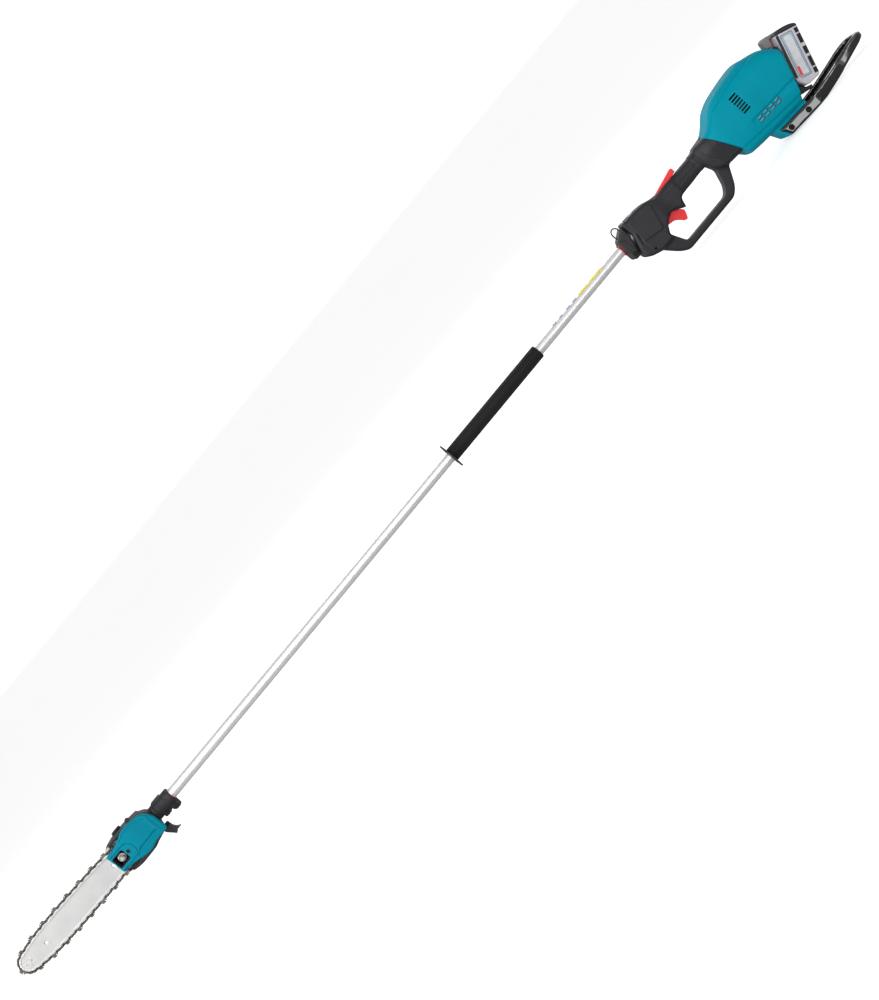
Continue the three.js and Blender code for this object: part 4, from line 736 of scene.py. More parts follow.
def pole_parts():
    """Pole, seals, front grip, hand stop, both clamps and the strap's wire eye."""
    size = POLE_RADIUS
    profile = [(POLE_FRONT, size - 1.5), (POLE_FRONT, size - 0.3), (POLE_FRONT + 0.3, size)]
    profile += [(x, size) for x in np.linspace(0, 1700, 18)]
    profile += [(POLE_REAR - 0.3, size), (POLE_REAR, size - 0.3), (POLE_REAR, size - 1.5)]
    gather("pole", [skin(turned(profile, "x", (0, 0), 96), loop=True)], "frame", "pole_aluminium",
        ["pole_tube"])

    def film(x0, x1, low, high, count=16):
        """A thin printed film on the pole between two angles from the left side, upwards."""
        angle = np.radians(np.linspace(low, high, count))
        rings = [np.stack([np.full(count, x), -radius * np.cos(angle), radius * np.sin(angle)], 1) for
            radius in (size + 0.02, size + 0.1) for x in (x0, x1)]
        points = np.concatenate([rings[0], rings[1][::-1], rings[3], rings[2][::-1]])
        two, four = 2 * count, 4 * count  # the points go out and back below, then out and back above
        steps = range(count - 1)
        faces = [face for i in steps for face in ((i, i + 1, two - 2 - i, two - 1 - i), (two + i, two + i +
            1, four - 2 - i, four - 1 - i))]
        faces += [face for i in steps for face in ((i, i + 1, four - 2 - i, four - 1 - i), (two - 1 - i, two
            - 2 - i, two + 1 + i, two + i))]
        faces += [(0, two - 1, two, four - 1), (count - 1, count, two + count - 1, two + count)]
        return points, faces

    yellow = [film(1326, 1356, 44, 136), film(1360, 1402, 44, 136)]
    gather("pole_film_yellow", yellow, "frame", "pole_aluminium", finish=YELLOW_FILM)
    blue = [film(x, x + long, 50, 130) for x, long in ((1240, 12), (1262, 10), (1284, 14), (1306, 12))]
    gather("pole_film_blue", blue, "frame", "pole_aluminium", finish=BLUE_FILM)

    for name, x0, x1, size, node in (("front_seal", -49.7, -48.2, 13.4, "front_seal_ring"), ("rear_seal",
            1456.2, 1459.7, 14, "rear_seal_ring")):
        ring = [(x0, BORE), (x0, size - 0.4), (x0 + 0.4, size), (x1 - 0.4, size), (x1, size - 0.4), (x1,
            BORE)]
        gather(name, [skin(turned(ring, "x", (0, 0), 64), loop=True)], "frame", "red_seal", [node])

    count, ribs = 240, 20
    angle = np.arange(count) / count * 2 * np.pi
    wave = 16.5 - 1.1 * smooth_step(np.cos(angle * ribs), 0.25, 0.75)
    rings = []
    for x, share in ((GRIP_FRONT, -0.9), (892.1, -0.3), (893.2, 0), (1176, 0), (1178.5, -0.35), (1179.7,
            -0.9), (GRIP_REAR, -1.6)):
        radius = wave + share
        rings.append(np.stack([np.full(count, x), radius * np.cos(angle), radius * np.sin(angle)], 1))
    for x in (GRIP_REAR, GRIP_FRONT):
        rings.append(np.stack([np.full(count, x), BORE * np.cos(angle), BORE * np.sin(angle)], 1))
    gather("front_grip", [skin(rings, loop=True)], "frame", "black_rubber", ["front_grip_sleeve"], sharp=50)

    x0 = HAND_STOP_FRONT
    ring = [(x0, BORE), (x0, 20), (x0 + 0.8, 21.5), (x0 + 0.8, 29.5), (x0 + 1.2, 31.4), (x0 + 2.3, 32), (x0
        + 3.6, 31.8), (x0 + 4.4, 31), (x0 + 4.6, 29), (x0 + 4.2, 22), (x0 + 5, 20), (x0 + 5, BORE)]
    gather("hand_stop", [skin(turned(ring, "x", (0, 0), 96), loop=True)], "frame", "black_plastic",
        ["hand_stop_flange"])

    grid = Grid((-105, -19, -31), (-49, 19, 22), 0.4)
    sleeve = join(rod(grid, "x", (0, 0), 18.5, -104, -50, 1.6), rod(grid, "x", (0, 0), 17.2, -104, -50, 1))
    waist = 0.8 * groove(grid, [[-94.5, -40], [-94.5, 40]], 1.6) + 0.8 * groove(grid, [[-66, 0], [-66, 40]],
        1.6)
    boss = slab(grid, [[-94, 0], [-94, 21, 3], [-68, 21, 3], [-68, 0]], -9, 9, 2)
    lugs = join(slab(grid, [[-70, -5], [-70, -24, 5], [-65, -30, 5], [-51, -30, 5], [-50, -24, 4], [-50,
        -5]], -10, 10, 1.5), slab(grid, [[-92, -5], [-92, -24, 5], [-73, -24, 5], [-73, -5]], -10, 10, 1.5))
    field = cut(join(sleeve + waist, boss, lugs, soft=2), rod(grid, "x", (0, 0), BORE, -110, -40),
        block(grid, (-110, -1, -40), (-40, 1, -5)), rod(grid, "y", (-60, -23), 3.3, -30, 30), rod(grid, "y",
        (-82, -20), 2.8, -30, 30))
    surface("pole_clamp_body", grid, field, "frame", "black_plastic", ["pole_clamp"])
    for name, x, z, shank, head, tail, steel, node in (("clamp_bolt_front", -82, -20, 2.5, -10.3, 12,
            "dark_steel", "clamp_screw_front"), ("clamp_bolt_rear", -60, -23, 3, -10.3, 12, "dark_steel",
            "clamp_screw_rear"), ("grip_bolt", 1470, -26, 3, -16.5, 18, "bright_steel",
            "front_clamp_screw")):
        gather(name, [socket_screw(x, z, shank, head, tail)], "frame", steel, [node], BLACKENED, sharp=30)

    grid = Grid((1459, -22, -37), (1494, 22, 35), 0.4)
    side = from_side(grid, [[1460, 8, 3], [1463, 19, 5], [1489, 34, 3], [1492, 31, 2], [1491.5, 7, 2],
        [1477.5, -30, 2], [1477.5, -36, 5], [1461, -36, 9]])
    body = extrude(side, grid.y, -21, 21, 5)
    body = body + 0.7 * groove(grid, [[1463, 17], [1476, 10], [1478, -14], [1462, -16]], 1.4)
    field = cut(body, rod(grid, "x", (0, 0), BORE, 1450, 1500), rod(grid, "z", (1470, 0), 1.8, 13.7, 50),
        rod(grid, "z", (1487, 0), 1.8, 13.7, 50), rod(grid, "y", (1470, -26), 3.3, -30, 30), rod(grid, "y",
        (1470, -26), 5.5, -30, -16.2, 0.4))
    surface("front_clamp_body", grid, field, "frame", "black_plastic", ["front_clamp"])

    path = spline([(1470, 14), (1470, 24), (1470, 36), (1474, 43), (1481, 44), (1487, 37), (1487, 30),
        (1487, 14)], 48)
    ahead = np.gradient(path, axis=0)
    ahead /= np.linalg.norm(ahead, axis=1)[:, None]
    angle = np.arange(16) / 16 * 2 * np.pi
    rings = [np.stack([p[0] - 1.5 * np.cos(angle) * t[1], 1.5 * np.sin(angle), p[1] + 1.5 * np.cos(angle) *
        t[0]], 1) for p, t in zip(path, ahead)]
    gather("strap_eye_wire", [skin(rings)], "frame", "bright_steel", ["strap_loop"], finish=BLACKENED,
        sharp=50)


# ---------------------------------------------------------------- handle
CONTROL_CORNERS = [[1494, 37.5, 5], [1530, 36], [1560, 32, 12], [1584, 22, 12], [1600, 18.5], [1640, 18],
    [1640, -22], [1624, -28, 6], [1619, -45, 2], [1612, -43], [1600, -33], [1580, -28], [1562, -40, 4],
    [1551, -55], [1552, -66], [1512, -66], [1490, -57, 7], [1481, -48, 6], [1481.5, -30], [1495.5, 7]]
CONTROL_HOLLOW = [[1499, 33], [1530, 32], [1556, 27], [1556, -14], [1551, -52], [1516, -56], [1494, -50],
    [1486, -42], [1486, -30], [1499, 5]]
GUARD_OUTER = [[1512, -60], [1540, -98, 12], [1556, -112, 12], [1704, -112, 14], [1722, -98, 12], [1748,
    -56], [1720, -40], [1640, -10], [1540, -30]]
GUARD_INNER = [[1552, -56, 6], [1568, -95.5, 9], [1692, -95.5, 12], [1706, -80, 8], [1719, -45, 6], [1712,
    -23, 5], [1626, -23, 8], [1618, -46, 2], [1590, -28], [1562, -40]]
NECK_STATIONS = np.array([(1700, 18.5, -23.5, 19), (1711, 19.5, -26, 19.5), (1719, 23.6, -42, 25), (1735,
    24.6, -56, 38), (1750, 25.6, -58.5, 43), (1784, 28, -62, 50)], float)
NECK_LEAN = math.radians(-25.5)


def lofted(grid, stations, power, inset=0.0):
    """A body along X whose rounded section follows stations of [x, top, bottom, half width]."""
    x = grid.x
    top, bottom, half = (np.interp(x, stations[:, 0], stations[:, k]).astype(np.float32) for k in (1, 2, 3))
    tall = (top - bottom) / 2 - inset
    wide = half - inset
    y = np.abs(grid.y) / wide
    z = np.abs(grid.z - (top + bottom) / 2) / tall
    size = (y**power + z**power) ** (1 / power)
    # the slope of size across the section turns it into a distance
    slope = np.hypot(y ** (power - 1) / wide, z ** (power - 1) / tall) / np.maximum(size, 1e-3) ** (power -
        1)
    field = (size - 1) / np.maximum(slope, 1e-4)
    return np.maximum(field, np.maximum(stations[0, 0] - x, x - stations[-1, 0]))


def smoothed(stations, count=60):
    """Stations drawn out along a smooth curve."""
    return spline(stations, count)


def behind_neck(grid, offset=0.0):
    """Negative behind the leaning plane between the neck and the motor housing."""
    c, s = math.cos(NECK_LEAN), math.sin(NECK_LEAN)
    return -((grid.x - 1757) * c - grid.z * s - offset)


def handle():
    """The two handle shells, trigger, lock-off lever and power button."""
    grid = Grid((1479, -47.5, -113), (1785, 47.5, 38), 0.8)
    half = 27
    control = slab(grid, CONTROL_CORNERS, -half, half, 7)
    control = control + 9 * smooth_step(grid.x, 1566, 1604) * smooth_step(np.abs(grid.y), 8, 26)
    front_facet = 2.0 * groove(grid, [[1508, 40], [1507, 12], [1496, -24]], 3.2)
    panel = slab(grid, [[1505, 31, 4], [1560, 26, 4], [1567, 17, 4], [1549, -36, 6], [1501, -23, 5]], -half
        - 1.8, half + 1.8, 1.4)
    lower = slab(grid, [[1500, -30, 3], [1547, -42, 4], [1546, -62, 4], [1515, -61, 4], [1501, -50, 5]],
        -half - 0.9, half + 0.9, 1.2)
    lip = slab(grid, [[1592, 8], [1632, 8], [1636, -23], [1625, -28, 5], [1619, -45, 2], [1612, -43], [1590,
        -28]], -15, 15, 3)
    grip_stations = np.array([(1580, 20, -27, 22), (1598, 19, -26, 19), (1638, 19, -24, 19), (1712, 18.5,
        -24, 19)], float)
    grip = lofted(grid, smoothed(grip_stations), 2.6)
    side_lines = 0.9 * groove(grid, [[1640, -3], [1708, -3]], 1.5) + 0.8 * groove(grid, [[1594, 2.5], [1706,
        1.5]], 1.3)
    grip = grip + side_lines * smooth_step(np.abs(grid.y), 10, 14)
    neck = lofted(grid, smoothed(NECK_STATIONS), 3.2)
    facet = math.radians(9)
    crease = np.interp(grid.x, [1700, 1726, 1762, 1790], [-20, -14, -3, 6]).astype(np.float32)
    wide_here = np.interp(grid.x, NECK_STATIONS[:, 0], NECK_STATIONS[:, 3]).astype(np.float32)
    low_side = (np.abs(grid.y) - wide_here + 0.6) * math.cos(facet) - (grid.z - crease) * math.sin(facet)
    neck = overlap(neck, low_side, soft=0.8)
    neck = neck + 1.1 * groove(grid, [[1722, 40], [1722, -4], [1746, -58]],
        2.2) * smooth_step(np.abs(grid.y), 12, 18)
    neck = cut(neck, behind_neck(grid))
    guard = cut(slab(grid, GUARD_OUTER, -13, 13, 5.5), slab(grid, GUARD_INNER, -40, 40))
    guard = join(guard, overlap(slab(grid, GUARD_OUTER, -10, 10, 4), -from_side(grid, GUARD_INNER)), soft=2)
    solid = join(join(control + front_facet, panel, lower, soft=1.2), lip, grip, soft=7)
    solid = join(solid, neck, soft=5)
    solid = join(solid, guard, soft=6)
    solid = cut(solid, slab(grid, GUARD_INNER, -40, 40), soft=3)
    wide = half - 3
    hollows = join(rod(grid, "x", (0, 0), BORE, 1470, 1790), slab(grid, CONTROL_HOLLOW, -wide, wide),
        block(grid, (1549, -6.3, -70), (1621, 6.3, -13)), rod(grid, "y", TRIGGER_PIN, 2.3, -12, 12),
        block(grid, (1589, -7.6, 12.4), (1662, 7.6, 60)), rod(grid, "y", LEVER_PIN, 2.3, -11, 11), rod(grid,
        "z", (1528, 0), 7.4, 20, 60, 0), rod(grid, "x", (0, -5), 30, 1744, 1790))
    solid = cut(solid, hollows)
    screws = join(*[rod(grid, "y", at, 3.2, 22, 60, 0.4) for at in ((1506, -51), (1512, 22), (1552, 20),
        (1735, -20))])
    sunk = rod(grid, "y", (1506, -51), 2.4, -60, -24, 0.3)
    solid = cut(solid, screws, sunk)
    for side, name in ((-1, "left"), (1, "right")):
        surface("handle_" + name, grid, np.maximum(solid, SEAM_HALF - side * grid.y), "frame",
            "black_plastic", ["handle_shell_" + name])

    grid = Grid((1558, -6, -66.5), (1614, 6, -14), 0.3)
    side = from_side(grid, [[1560, -15, 1], [1577, -15, 2], [1590, -26, 6], [1604, -36, 6], [1613, -47, 3],
        [1609, -57, 6], [1603, -66, 2], [1597, -64, 2], [1589, -53, 6], [1581, -46, 6], [1563, -42, 2],
        [1559, -24]])
    field = cut(extrude(side, grid.y, -5.5, 5.5, 1.6), rod(grid, "y", TRIGGER_PIN, 2.3, -12, 12))
    surface("trigger_blade", grid, field, "trigger", "red_plastic", ["trigger"])

    grid = Grid((1589, -11, 14), (1661, 11, 33), 0.35)
    side = from_side(grid, [[1591, 14.5, 2], [1590.5, 20, 1], [1657.5, 32.6, 1.5], [1659.5, 31, 1.5],
        [1659.5, 20.8], [1602, 13.8]])
    ridges = 0.5 * smooth_step(np.cos((grid.x - 1622) * 2 * np.pi / 5), 0.2, 0.8) * smooth_step(grid.x,
        1620, 1622)
    ridges = ridges * smooth_step(-grid.x, -1652, -1650) * smooth_step(grid.z - (grid.x - 1590) * 0.2, 17,
        19)
    field = join(extrude(side, grid.y, -7, 7, 1.4) + ridges, rod(grid, "y", LEVER_PIN, 2, -10, 10))
    surface("lock_off_wedge", grid, field, "lock_lever", "red_plastic", ["lock_off_lever"])

    profile = [(25.5, 0.01), (25.5, 9), (28, 9), (28, 7), (36.2, 7), (36.9, 6.6), (37.2, 5.8), (36.7, 4.6),
        (36.5, 0.01)]
    gather("power_push", [skin(turned(profile, "z", (1528, 0), 48))], "power_button", "grey_plastic",
        ["power_button"])


# ---------------------------------------------------------------- motor housing and rear hoop
HOUSING_STATIONS = np.array([(1730, 24, -50, 34), (1752, 26, -56, 43), (1772, 37, -62, 49), (1790, 52, -78,
    52), (1806, 60, -82, 54), (1828, 66, -85, 56), (1860, 70, -88, 57), (1905, 72.5, -92, 57), (1930, 65,
    -94, 56), (1960, 54, -96, 55), (1980, 38, -98, 54), (2004, 10, -100, 52)], float)
REAR_LEAN = math.radians(22)
REAR_FACE = 1836.5
HOUSING_WALL = 3.2
TOP_CREASE = [[1745, 38], [1772, 43], [1800, 47], [1850, 55], [1900, 59], [1975, 57]]
MIDDLE_CREASE = [[1838, -31], [1905, -36], [1990, -41]]
LOWER_CREASE = [[1758, -49], [1775, -53], [1836, -61], [1945, -73], [1990, -77]]
LOUVRES = [(1847 + 17 * i, row - 0.06 * (17 * i)) for row in (-39.5, -47.5) for i in range(4)]
HOOP_SCREWS = [(1886, -107), (1938, -111)]


def behind_face(grid, offset=0.0):
    """Negative behind the leaning face that carries the battery."""
    return REAR_FACE + offset - (grid.x * math.cos(REAR_LEAN) - grid.z * math.sin(REAR_LEAN))


def beneath(grid, line):
    """How far a point lies below a line of [x, z] points."""
    line = np.array(line, float)
    return np.interp(grid.x, line[:, 0], line[:, 1]).astype(np.float32) - grid.z


def raked_bar(side, x0, x1, y0, y1, z0, z1, rake):
    """A bar on one side of the housing whose outer face sinks by rake towards the rear."""
    return skin([[(x, side * y0, z0), (x, side * (y1 - drop), z0), (x, side * (y1 - drop), z1), (x, side *
        y0, z1)] for x, drop in ((x0, 0), (x1, rake))])


def housing():
    """The two halves of the motor housing, the fins in its vents, and thin black sheets of painted shade at
    the back of the vent pockets.
    """
    grid = Grid((1743, -58, -124.5), (1993, 58, 73.5), 0.9)
    stations = smoothed(HOUSING_STATIONS)
    form = lofted(grid, stations, 3.6)
    near_side = smooth_step(np.abs(grid.y), 30, 40)
    middle = beneath(grid, MIDDLE_CREASE)
    lower = beneath(grid, LOWER_CREASE)
    roof = -beneath(grid, TOP_CREASE)
    looks = 1.6 * groove(grid, TOP_CREASE, 2.6) * near_side
    looks = looks + 0.13 * np.maximum(roof, 0) * near_side * smooth_step(-grid.z, -90, -40)
    panel = smooth_step(grid.x, 1832, 1842) * smooth_step(-grid.x, -1996, -1990)
    looks = looks + panel * near_side * 2.0 * smooth_step(middle, -0.9, 0.9) * smooth_step(-middle, -16, -8)
    looks = looks + near_side * 1.9 * smooth_step(lower, -1.1, 1.1) * smooth_step(-lower, -12, -4)
    bulge = np.hypot((grid.x - 1930) / 1.25, grid.z + 2)
    looks = looks - near_side * 0.9 * smooth_step(-bulge, -82, -70) * smooth_step(-middle, -1,
        3) * smooth_step(-roof, 0, 6)
    outer = cut(form + looks, behind_face(grid), soft=3)
    outer = cut(outer, -behind_neck(grid, 0.3))
    keel = slab(grid, [[1856, -80], [1873, -118.5, 5], [1884, -120.5], [1958, -123.6], [1949, -90]], -33.7,
        33.7, 3)
    outer = join(outer, keel, soft=3)
    wall = cut(form + HOUSING_WALL, behind_face(grid, -3))
    wall = cut(wall, -behind_neck(grid, 3.3))
    vents = []
    for i in range(7):
        z = 34 - 7 * i
        slot = np.maximum(np.abs(grid.x - 1846) - 10, np.abs(grid.z - z) - 1.8)
        vents.append(np.maximum(slot, 40 - np.abs(grid.y)))
    louvres = []
    for x, z in LOUVRES:
        pocket = np.maximum(np.abs(grid.x - x - 6.5) - 6.8, np.abs(grid.z - z) - 2.9)
        louvres.append(np.maximum(pocket, 54.8 - np.abs(grid.y)))
    holes = join(*vents, *louvres, rod(grid, "x", (0, -5), 30, 1700, 1796), *[rod(grid, "y", at, 3.3, -60,
        60) for at in HOOP_SCREWS])
    solid = cut(outer, wall, holes)
    for side, name in ((-1, "left"), (1, "right")):
        surface("housing_" + name, grid, np.maximum(solid, SEAM_HALF - side * grid.y), "frame",
            "teal_plastic", ["motor_housing_" + name])

    # painted shade: a thin black sheet lies at the floor of each vent pocket, where the pocket would only
    # be dark from shade
    fins, painted_shade_sheets = [], []
    for x, z in LOUVRES:
        for side in (-1, 1):
            fins.append(raked_bar(side, x + 0.1, x + 9.5, 55.4, 57.0, z + 0.2, z + 2.7, 1.0))
            painted_shade_sheets.append(raked_bar(side, x - 0.1, x + 13.1, 54.9, 55.3, z - 2.7, z + 2.7, 0))
    # the fins take the lighter teal, a painted highlight
    gather("louvre_fins", fins, "frame", "teal_plastic", finish=LIT_LOUVRE_TEAL, sharp=30)
    gather("louvre_painted_shade", painted_shade_sheets, "frame", "black_plastic", sharp=30)


def hoop():
    """The closed bow that the saw stands on, and its two bolts."""
    grid = Grid((1863, -45, -125), (2142, 45, -83), 0.6)
    outer = [[1863, -44], [2078, -44, 14], [2141, -38, 40], [2141, 38, 40], [2078, 44, 14], [1863, 44]]
    inner = [[1850, -34], [2074, -34, 14], [2129, -28, 30], [2129, 28, 30], [2074, 34, 14], [1850, 34]]
    plan = cut(outline(grid.x, grid.y, outer), outline(grid.x, grid.y, inner))
    side = from_side(grid, [[1864, -92, 3], [1952, -98, 3], [1996, -97, 24], [2050, -91, 24], [2100, -84,
        14], [2128, -84, 8], [2142, -88, 4], [2142, -97, 4], [2120, -102, 8], [2035, -118, 24], [1985,
        -124], [1962, -124], [1878, -119, 3]])
    arm = overlap(plan, side, soft=4)
    lean = 0.13 - 0.11 * smooth_step(grid.x, 1962, 1972) * smooth_step(-grid.x, -2062, -2044)
    arm = arm + lean * np.maximum(grid.z + 122, 0) * smooth_step(np.abs(grid.y), 37, 41)
    body = lofted(grid, smoothed(HOUSING_STATIONS), 3.6, -0.5)
    body = cut(body, behind_face(grid, 3))
    holes = join(*[rod(grid, "y", at, 3.3, -60, 60) for at in HOOP_SCREWS], *[rod(grid, "y", at, 5.6, -60,
        -39.4, 0.4) for at in HOOP_SCREWS])
    surface("hoop_bow", grid, cut(arm, body, holes), "frame", "gloss_black", ["rear_hoop"])
    for i, (x, z) in enumerate(HOOP_SCREWS, 1):
        gather(f"hoop_bolt_{i}", [socket_screw(x, z, 3, -39.8, 43)], "frame", "dark_steel",
            [f"hoop_screw_{i}"], BLACKENED, sharp=30)


# ---------------------------------------------------------------- battery
BATTERY_DEPTH, CAP_HEIGHT = 54, 11
BATTERY_FRONT = REAR_FACE + 6
BATTERY_REAR = BATTERY_FRONT + BATTERY_DEPTH
BATTERY_LOW, BATTERY_HIGH, BATTERY_HALF = 667.0, 803.0, 40.0
BATTERY_SPLIT = BATTERY_HIGH - CAP_HEIGHT
BATTERY_CORNERS = [[BATTERY_FRONT, BATTERY_LOW + 19, 8], [BATTERY_FRONT, BATTERY_HIGH - 5, 5],
    [BATTERY_FRONT + 10, BATTERY_HIGH - 1, 4], [BATTERY_FRONT + 27, BATTERY_HIGH, 8], [BATTERY_REAR - 12,
    BATTERY_HIGH - 1, 6], [BATTERY_REAR, BATTERY_HIGH - 5, 6], [BATTERY_REAR, BATTERY_LOW + 12, 6],
    [BATTERY_FRONT + 19, BATTERY_LOW + 2, 8]]
LABEL = [[BATTERY_FRONT + 9.5, 694, 3], [BATTERY_FRONT + 9.5, 788, 4], [BATTERY_FRONT + 38.5, 788, 4],
    [BATTERY_FRONT + 38.5, 687, 4], [BATTERY_FRONT + 14, 688, 4]]
on_battery = leaning(REAR_LEAN)
VENT_GROUPS = [(685, 697), (700, 723), (729, 746), (754, 775), (778, 789)]
VENT_WIDTH = 10.5


def battery():
    """Battery case, end cap, latch, vents and label area, and the seat it slides on."""
    front, rear, low, high, half = BATTERY_FRONT, BATTERY_REAR, BATTERY_LOW, BATTERY_HIGH, BATTERY_HALF
    split = BATTERY_SPLIT
    grid = Grid((front - 1, -half - 1, low - 1), (rear + 1, half + 1, split + 1), 0.55)
    case = slab(grid, BATTERY_CORNERS, -half, half, 4)
    case = np.maximum(case, grid.z - split)
    case = cut(case, block(grid, (front + 3, -half + 3, low + 19), (rear - 3, half - 3, split + 9)))
    vents = [block(grid, (rear - VENT_WIDTH, -half - 9, a), (rear + 9, -half + 2.2, b), 0.5) for a, b in
        VENT_GROUPS]
    vents += [block(grid, (rear - VENT_WIDTH, half - 2.2, a), (rear + 9, half + 9, b), 0.5) for a, b in
        VENT_GROUPS]
    recess = np.maximum(from_side(grid, LABEL), half - 0.8 - np.abs(grid.y))
    step = 0.7 * smooth_step(-np.abs(grid.x - front - 5), -1.3, -0.3) * smooth_step(np.abs(grid.y), half -
        6, half - 4)
    ribs = 0.8 * smooth_step(np.cos(grid.y * 2 * np.pi / 11.5), 0.75, 0.95) * smooth_step(grid.x, rear - 4,
        rear - 2)
    surface("battery_shell", grid, cut(case + step + ribs, *vents, recess), "battery", "grey_plastic",
        ["battery_case"], place=on_battery)

    small = Grid((rear - VENT_WIDTH - 1, half - 3, 684), (rear, half + 0.2, 790), 0.35)
    bars = []
    for a, b in VENT_GROUPS:
        tray = block(small, (rear - VENT_WIDTH + 0.1, half - 2.15, a + 0.1), (rear - 1.6, half - 1.5, b -
            0.1))
        post = block(small, (rear - VENT_WIDTH + 0.1, half - 2.1, a + 0.1), (rear - 7.6, half - 0.2, b -
            0.1), 0.4)
        ribs = [block(small, (rear - 7.6, half - 2.1, z - 0.6), (rear - 1.6, half - 0.6, z + 0.6), 0.3) for
            z in np.arange(a + 1.2, b - 0.8, 2.4)]
        bars.append(join(tray, post, *ribs))
    bars = join(*bars)
    thin = Grid((front + 8, half - 1, 685), (front + 40, half, 790), 0.35)
    edge = from_side(thin, LABEL) + 0.1
    rim = np.maximum(extrude(edge, thin.y, half - 0.75, half - 0.15, 0.1), -(edge + 1.9))
    line = np.maximum(extrude(edge + 3.4, thin.y, half - 0.75, half - 0.25, 0.1), -(edge + 4.8))
    field = extrude(edge + 1.9, thin.y, half - 0.75, half - 0.5)
    patch = slab(thin, [[front + 13.5, 695, 2], [front + 13.5, 714, 2], [front + 19.5, 714, 2], [front +
        19.5, 692, 2]], half - 0.6, half - 0.2)
    for name, flip in (("left", -1), ("right", 1)):
        place = lambda p, flip=flip: on_battery(p * (1, flip, 1))
        surface("battery_vents_" + name, small, bars, "battery", "black_plastic", place=place, merge=0.02)
        surface("battery_label_rim_" + name, thin, join(rim, line), "battery", "grey_plastic",
            finish=LABEL_BLUE, place=place, merge=0.02)
        surface("battery_label_field_" + name, thin, field, "battery", "grey_plastic", finish=LABEL_FIELD,
            place=place, merge=0.02)
        surface("battery_label_patch_" + name, thin, patch, "battery", "red_plastic", place=place,
            merge=0.02)

    band = Grid((front, half - 2, low + 24), (front + 8, half + 0.4, split), 0.35)
    rail = block(band, (front + 0.6, half - 1.2, low + 26), (front + 6.8, half + 0.35, split - 1), 0.5)
    for name, flip in (("left", -1), ("right", 1)):
        surface("battery_side_band_" + name, band, rail, "battery", "black_plastic", merge=0.02,
            place=lambda p, flip=flip: on_battery(p * (1, flip, 1)))

    seat = REAR_FACE + 0.3
    base = Grid((seat - 1, -31, 656), (seat + 40, 31, high - 29), 0.7)
    plate = block(base, (seat, -30, low - 10), (seat + 3, 30, high - 30), 0.8)
    slots = [block(base, (seat + 1.6, y - 5, low + 40), (seat + 9, y + 5, high - 45), 0.5) for y in (-20, 0,
        20)]
    foot = slab(base, [[seat, 657, 1], [seat + 38, 660, 2], [seat + 38, 667.5, 1], [seat + 25, 667.5], [seat
        + 6, 684.5], [seat, 687]], -24, 24, 1)
    surface("battery_seat", base, join(cut(plate, *slots), foot), "frame", "black_plastic",
        ["terminal_block"], place=on_battery)

    grid = Grid((front - 2, -half - 1, split - 1), (rear + 1, half + 1, high + 1), 0.5)
    top = slab(grid, BATTERY_CORNERS, -half, half, 3.5)
    top = np.maximum(top, split + 0.3 - grid.z)
    grooves = 0.7 * smooth_step(np.cos((grid.x - front) * 2 * np.pi / 7), 0.7, 0.95) * smooth_step(grid.z,
        high - 4, high - 2)
    top = cut(top + grooves, block(grid, (front - 9, -16, split - 3), (front + 12, 16, high + 30), 1))
    surface("battery_end_cap", grid, top, "battery", "black_plastic", ["battery_top"], place=on_battery)

    grid = Grid((front - 25, -16, high - 27), (front + 8, 16, high - 1), 0.35)
    side = from_side(grid, [[front - 24, high - 7, 3], [front - 16, high - 2, 4], [front + 7, high - 2, 2],
        [front + 7, split + 0.6], [front - 4.6, split + 0.6], [front - 4.6, high - 28], [front - 20, high -
        26, 3]])
    ridges = 0.6 * smooth_step(np.cos((grid.z - high) * 2 * np.pi / 3.2), 0.3, 0.9)
    latch = extrude(side, grid.y, -15, 15, 2) + ridges * smooth_step(-grid.x, -front + 21, -front + 22)
    surface("battery_release", grid, np.maximum(latch, high - 28 - grid.z), "latch", "grey_plastic",
        ["battery_latch"], LATCH_GREY, place=on_battery)
    grid = Grid((front - 8, -16, high - 27), (front - 4, 16, high - 10), 0.3)
    stripe = block(grid, (front - 6.4, -15.2, high - 25), (front - 4.8, 15.2, high - 13), 0.2)
    surface("battery_release_stripe", grid, stripe, "latch", "red_plastic", place=on_battery)


# ---------------------------------------------------------------- stage
def floor_finish():
    """Pale floor: white where it is looked at, and grey in what it throws back at the object."""
    made = material("pale_floor", (0.7, 0.7, 0.7), 0.85, tint=0.02, patch=1, grain=(40, 0.02, 0.0005))
    nodes, links = made.node_tree.nodes, made.node_tree.links
    seen = nodes.new("ShaderNodeEmission")
    seen.inputs["Strength"].default_value = 0.6
    both = nodes.new("ShaderNodeAddShader")
    chosen = nodes.new("ShaderNodeMixShader")
    mirrored = nodes.new("ShaderNodeMixShader")
    dim = nodes.new("ShaderNodeBsdfDiffuse")
    dim.inputs["Color"].default_value = (0.33, 0.33, 0.33, 1)  # what polished faces see of the floor
    path = nodes.new("ShaderNodeLightPath")
    principled = nodes["Principled BSDF"].outputs["BSDF"]
    links.new(path.outputs["Is Glossy Ray"], mirrored.inputs["Fac"])
    links.new(principled, mirrored.inputs[1])
    links.new(dim.outputs["BSDF"], mirrored.inputs[2])
    links.new(principled, both.inputs[0])
    links.new(seen.outputs["Emission"], both.inputs[1])
    links.new(path.outputs["Is Camera Ray"], chosen.inputs["Fac"])
    links.new(mirrored.outputs["Shader"], chosen.inputs[1])
    links.new(both.outputs["Shader"], chosen.inputs[2])
    links.new(chosen.outputs["Shader"], nodes["Material Output"].inputs["Surface"])
    return made


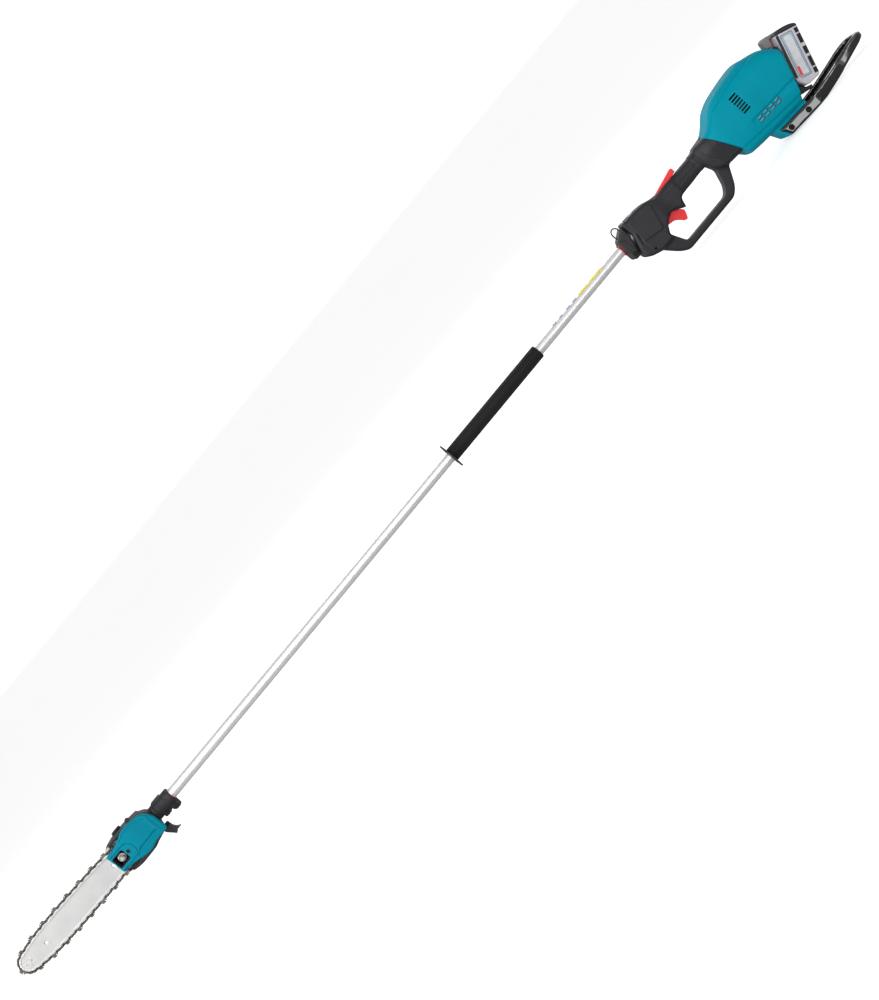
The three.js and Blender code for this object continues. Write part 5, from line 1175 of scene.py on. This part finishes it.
def stage():
    """A pale floor, a sky that is bright near the horizon, and four softboxes."""
    floor = bpy.data.meshes.new("floor")
    size = 60
    low = cad_low.z - 0.0005  # just below the saw, so that no faces share a plane
    floor.from_pydata([(-size, -size, low), (size, -size, low), (size, size, low), (-size, size, low)], [],
        [(0, 1, 2, 3)])
    floor_object = bpy.data.objects.new("floor", floor)
    bpy.context.scene.collection.objects.link(floor_object)
    floor.materials.append(floor_finish())

    world = bpy.data.worlds.new("studio")
    bpy.context.scene.world = world
    world.use_nodes = True
    nodes, links = world.node_tree.nodes, world.node_tree.links
    background = nodes["Background"]
    where = nodes.new("ShaderNodeTexCoord")
    split = nodes.new("ShaderNodeSeparateXYZ")
    links.new(where.outputs["Generated"], split.inputs["Vector"])
    height = nodes.new("ShaderNodeMapRange")
    height.inputs["From Min"].default_value = -1
    ramp = nodes.new("ShaderNodeValToRGB")
    sky = ((0.44, 0.4), (0.5, 0.8), (0.6, 0.8), (0.72, 0.46), (1.0, 0.4))
    while len(ramp.color_ramp.elements) < len(sky):
        ramp.color_ramp.elements.new(0.5)
    for element, (position, level) in zip(ramp.color_ramp.elements, sky):
        element.position, element.color = position, (level, level, level * 1.01, 1)
    links.new(split.outputs["Z"], height.inputs["Value"])
    links.new(height.outputs["Result"], ramp.inputs["Fac"])
    path = nodes.new("ShaderNodeLightPath")
    mix = nodes.new("ShaderNodeMix")
    mix.data_type = "RGBA"
    links.new(path.outputs["Is Camera Ray"], mix.inputs["Factor"])
    links.new(ramp.outputs["Color"], mix.inputs["A"])
    mix.inputs["B"].default_value = (1, 1, 1, 1)
    links.new(mix.outputs["Result"], background.inputs["Color"])
    background.inputs["Strength"].default_value = 1.0

    def softbox(name, at, to, wide, tall, power):
        light = bpy.data.lights.new(name, "AREA")
        light.shape = "RECTANGLE"
        light.size, light.size_y, light.energy = wide, tall, power
        holder = bpy.data.objects.new(name, light)
        bpy.context.scene.collection.objects.link(holder)
        holder.location = at
        holder.rotation_mode = "QUATERNION"
        holder.rotation_quaternion = (Vector(to) - Vector(at)).to_track_quat("-Z", "Y")

    softbox("key", (-1.4, -2.6, 2.6), (0, 0, 0.1), 3.2, 1.8, 46)
    softbox("strip", (0.2, -2.7, 0.32), (0.2, 0, 0.12), 4.4, 0.5, 20)
    softbox("side", (-3.3, -1.3, 0.6), (-0.4, 0, 0.1), 1.4, 1.0, 60)
    softbox("back", (0.8, 2.4, 2.2), (0.2, 0, 0.1), 3.0, 1.0, 30)


RISE = math.radians(7.5)
ROLL = (0.770, 0.638)  # shares of the pole and of the upright in the view's up direction
DISTANCE = 3.7


def camera():
    """Looks along +Y from 7.5 degrees up, rolled so that the pole climbs to the right."""
    lens = bpy.data.cameras.new("camera")
    lens.sensor_width, lens.lens = 36.0, 62.24
    lens.clip_start, lens.clip_end = 0.1, 300
    holder = bpy.data.objects.new("camera", lens)
    bpy.context.scene.collection.objects.link(holder)
    bpy.context.scene.camera = holder
    up_pole, up_side = ROLL
    tall = Vector((0, math.sin(RISE), math.cos(RISE)))
    right = Vector((up_side, 0, 0)) - up_pole * tall
    above = Vector((up_pole, 0, 0)) + up_side * tall
    back = Vector((0, -math.cos(RISE), math.sin(RISE)))
    target = Vector(ORIGIN) + Vector((0.8, 0, -0.041))
    place = target + back * DISTANCE
    right.normalize(), above.normalize()
    holder.matrix_world = Matrix([(*axes, at) for *axes, at in zip(right, above, back, place)] + [(0, 0, 0,
        1)])
    bpy.context.scene.view_settings.view_transform = "Standard"


guide_bar()
saw_chain()
sprocket_cover()
bar_nut()
gear_head()
pole_parts()
handle()
housing()
hoop()
battery()
stage()
camera()
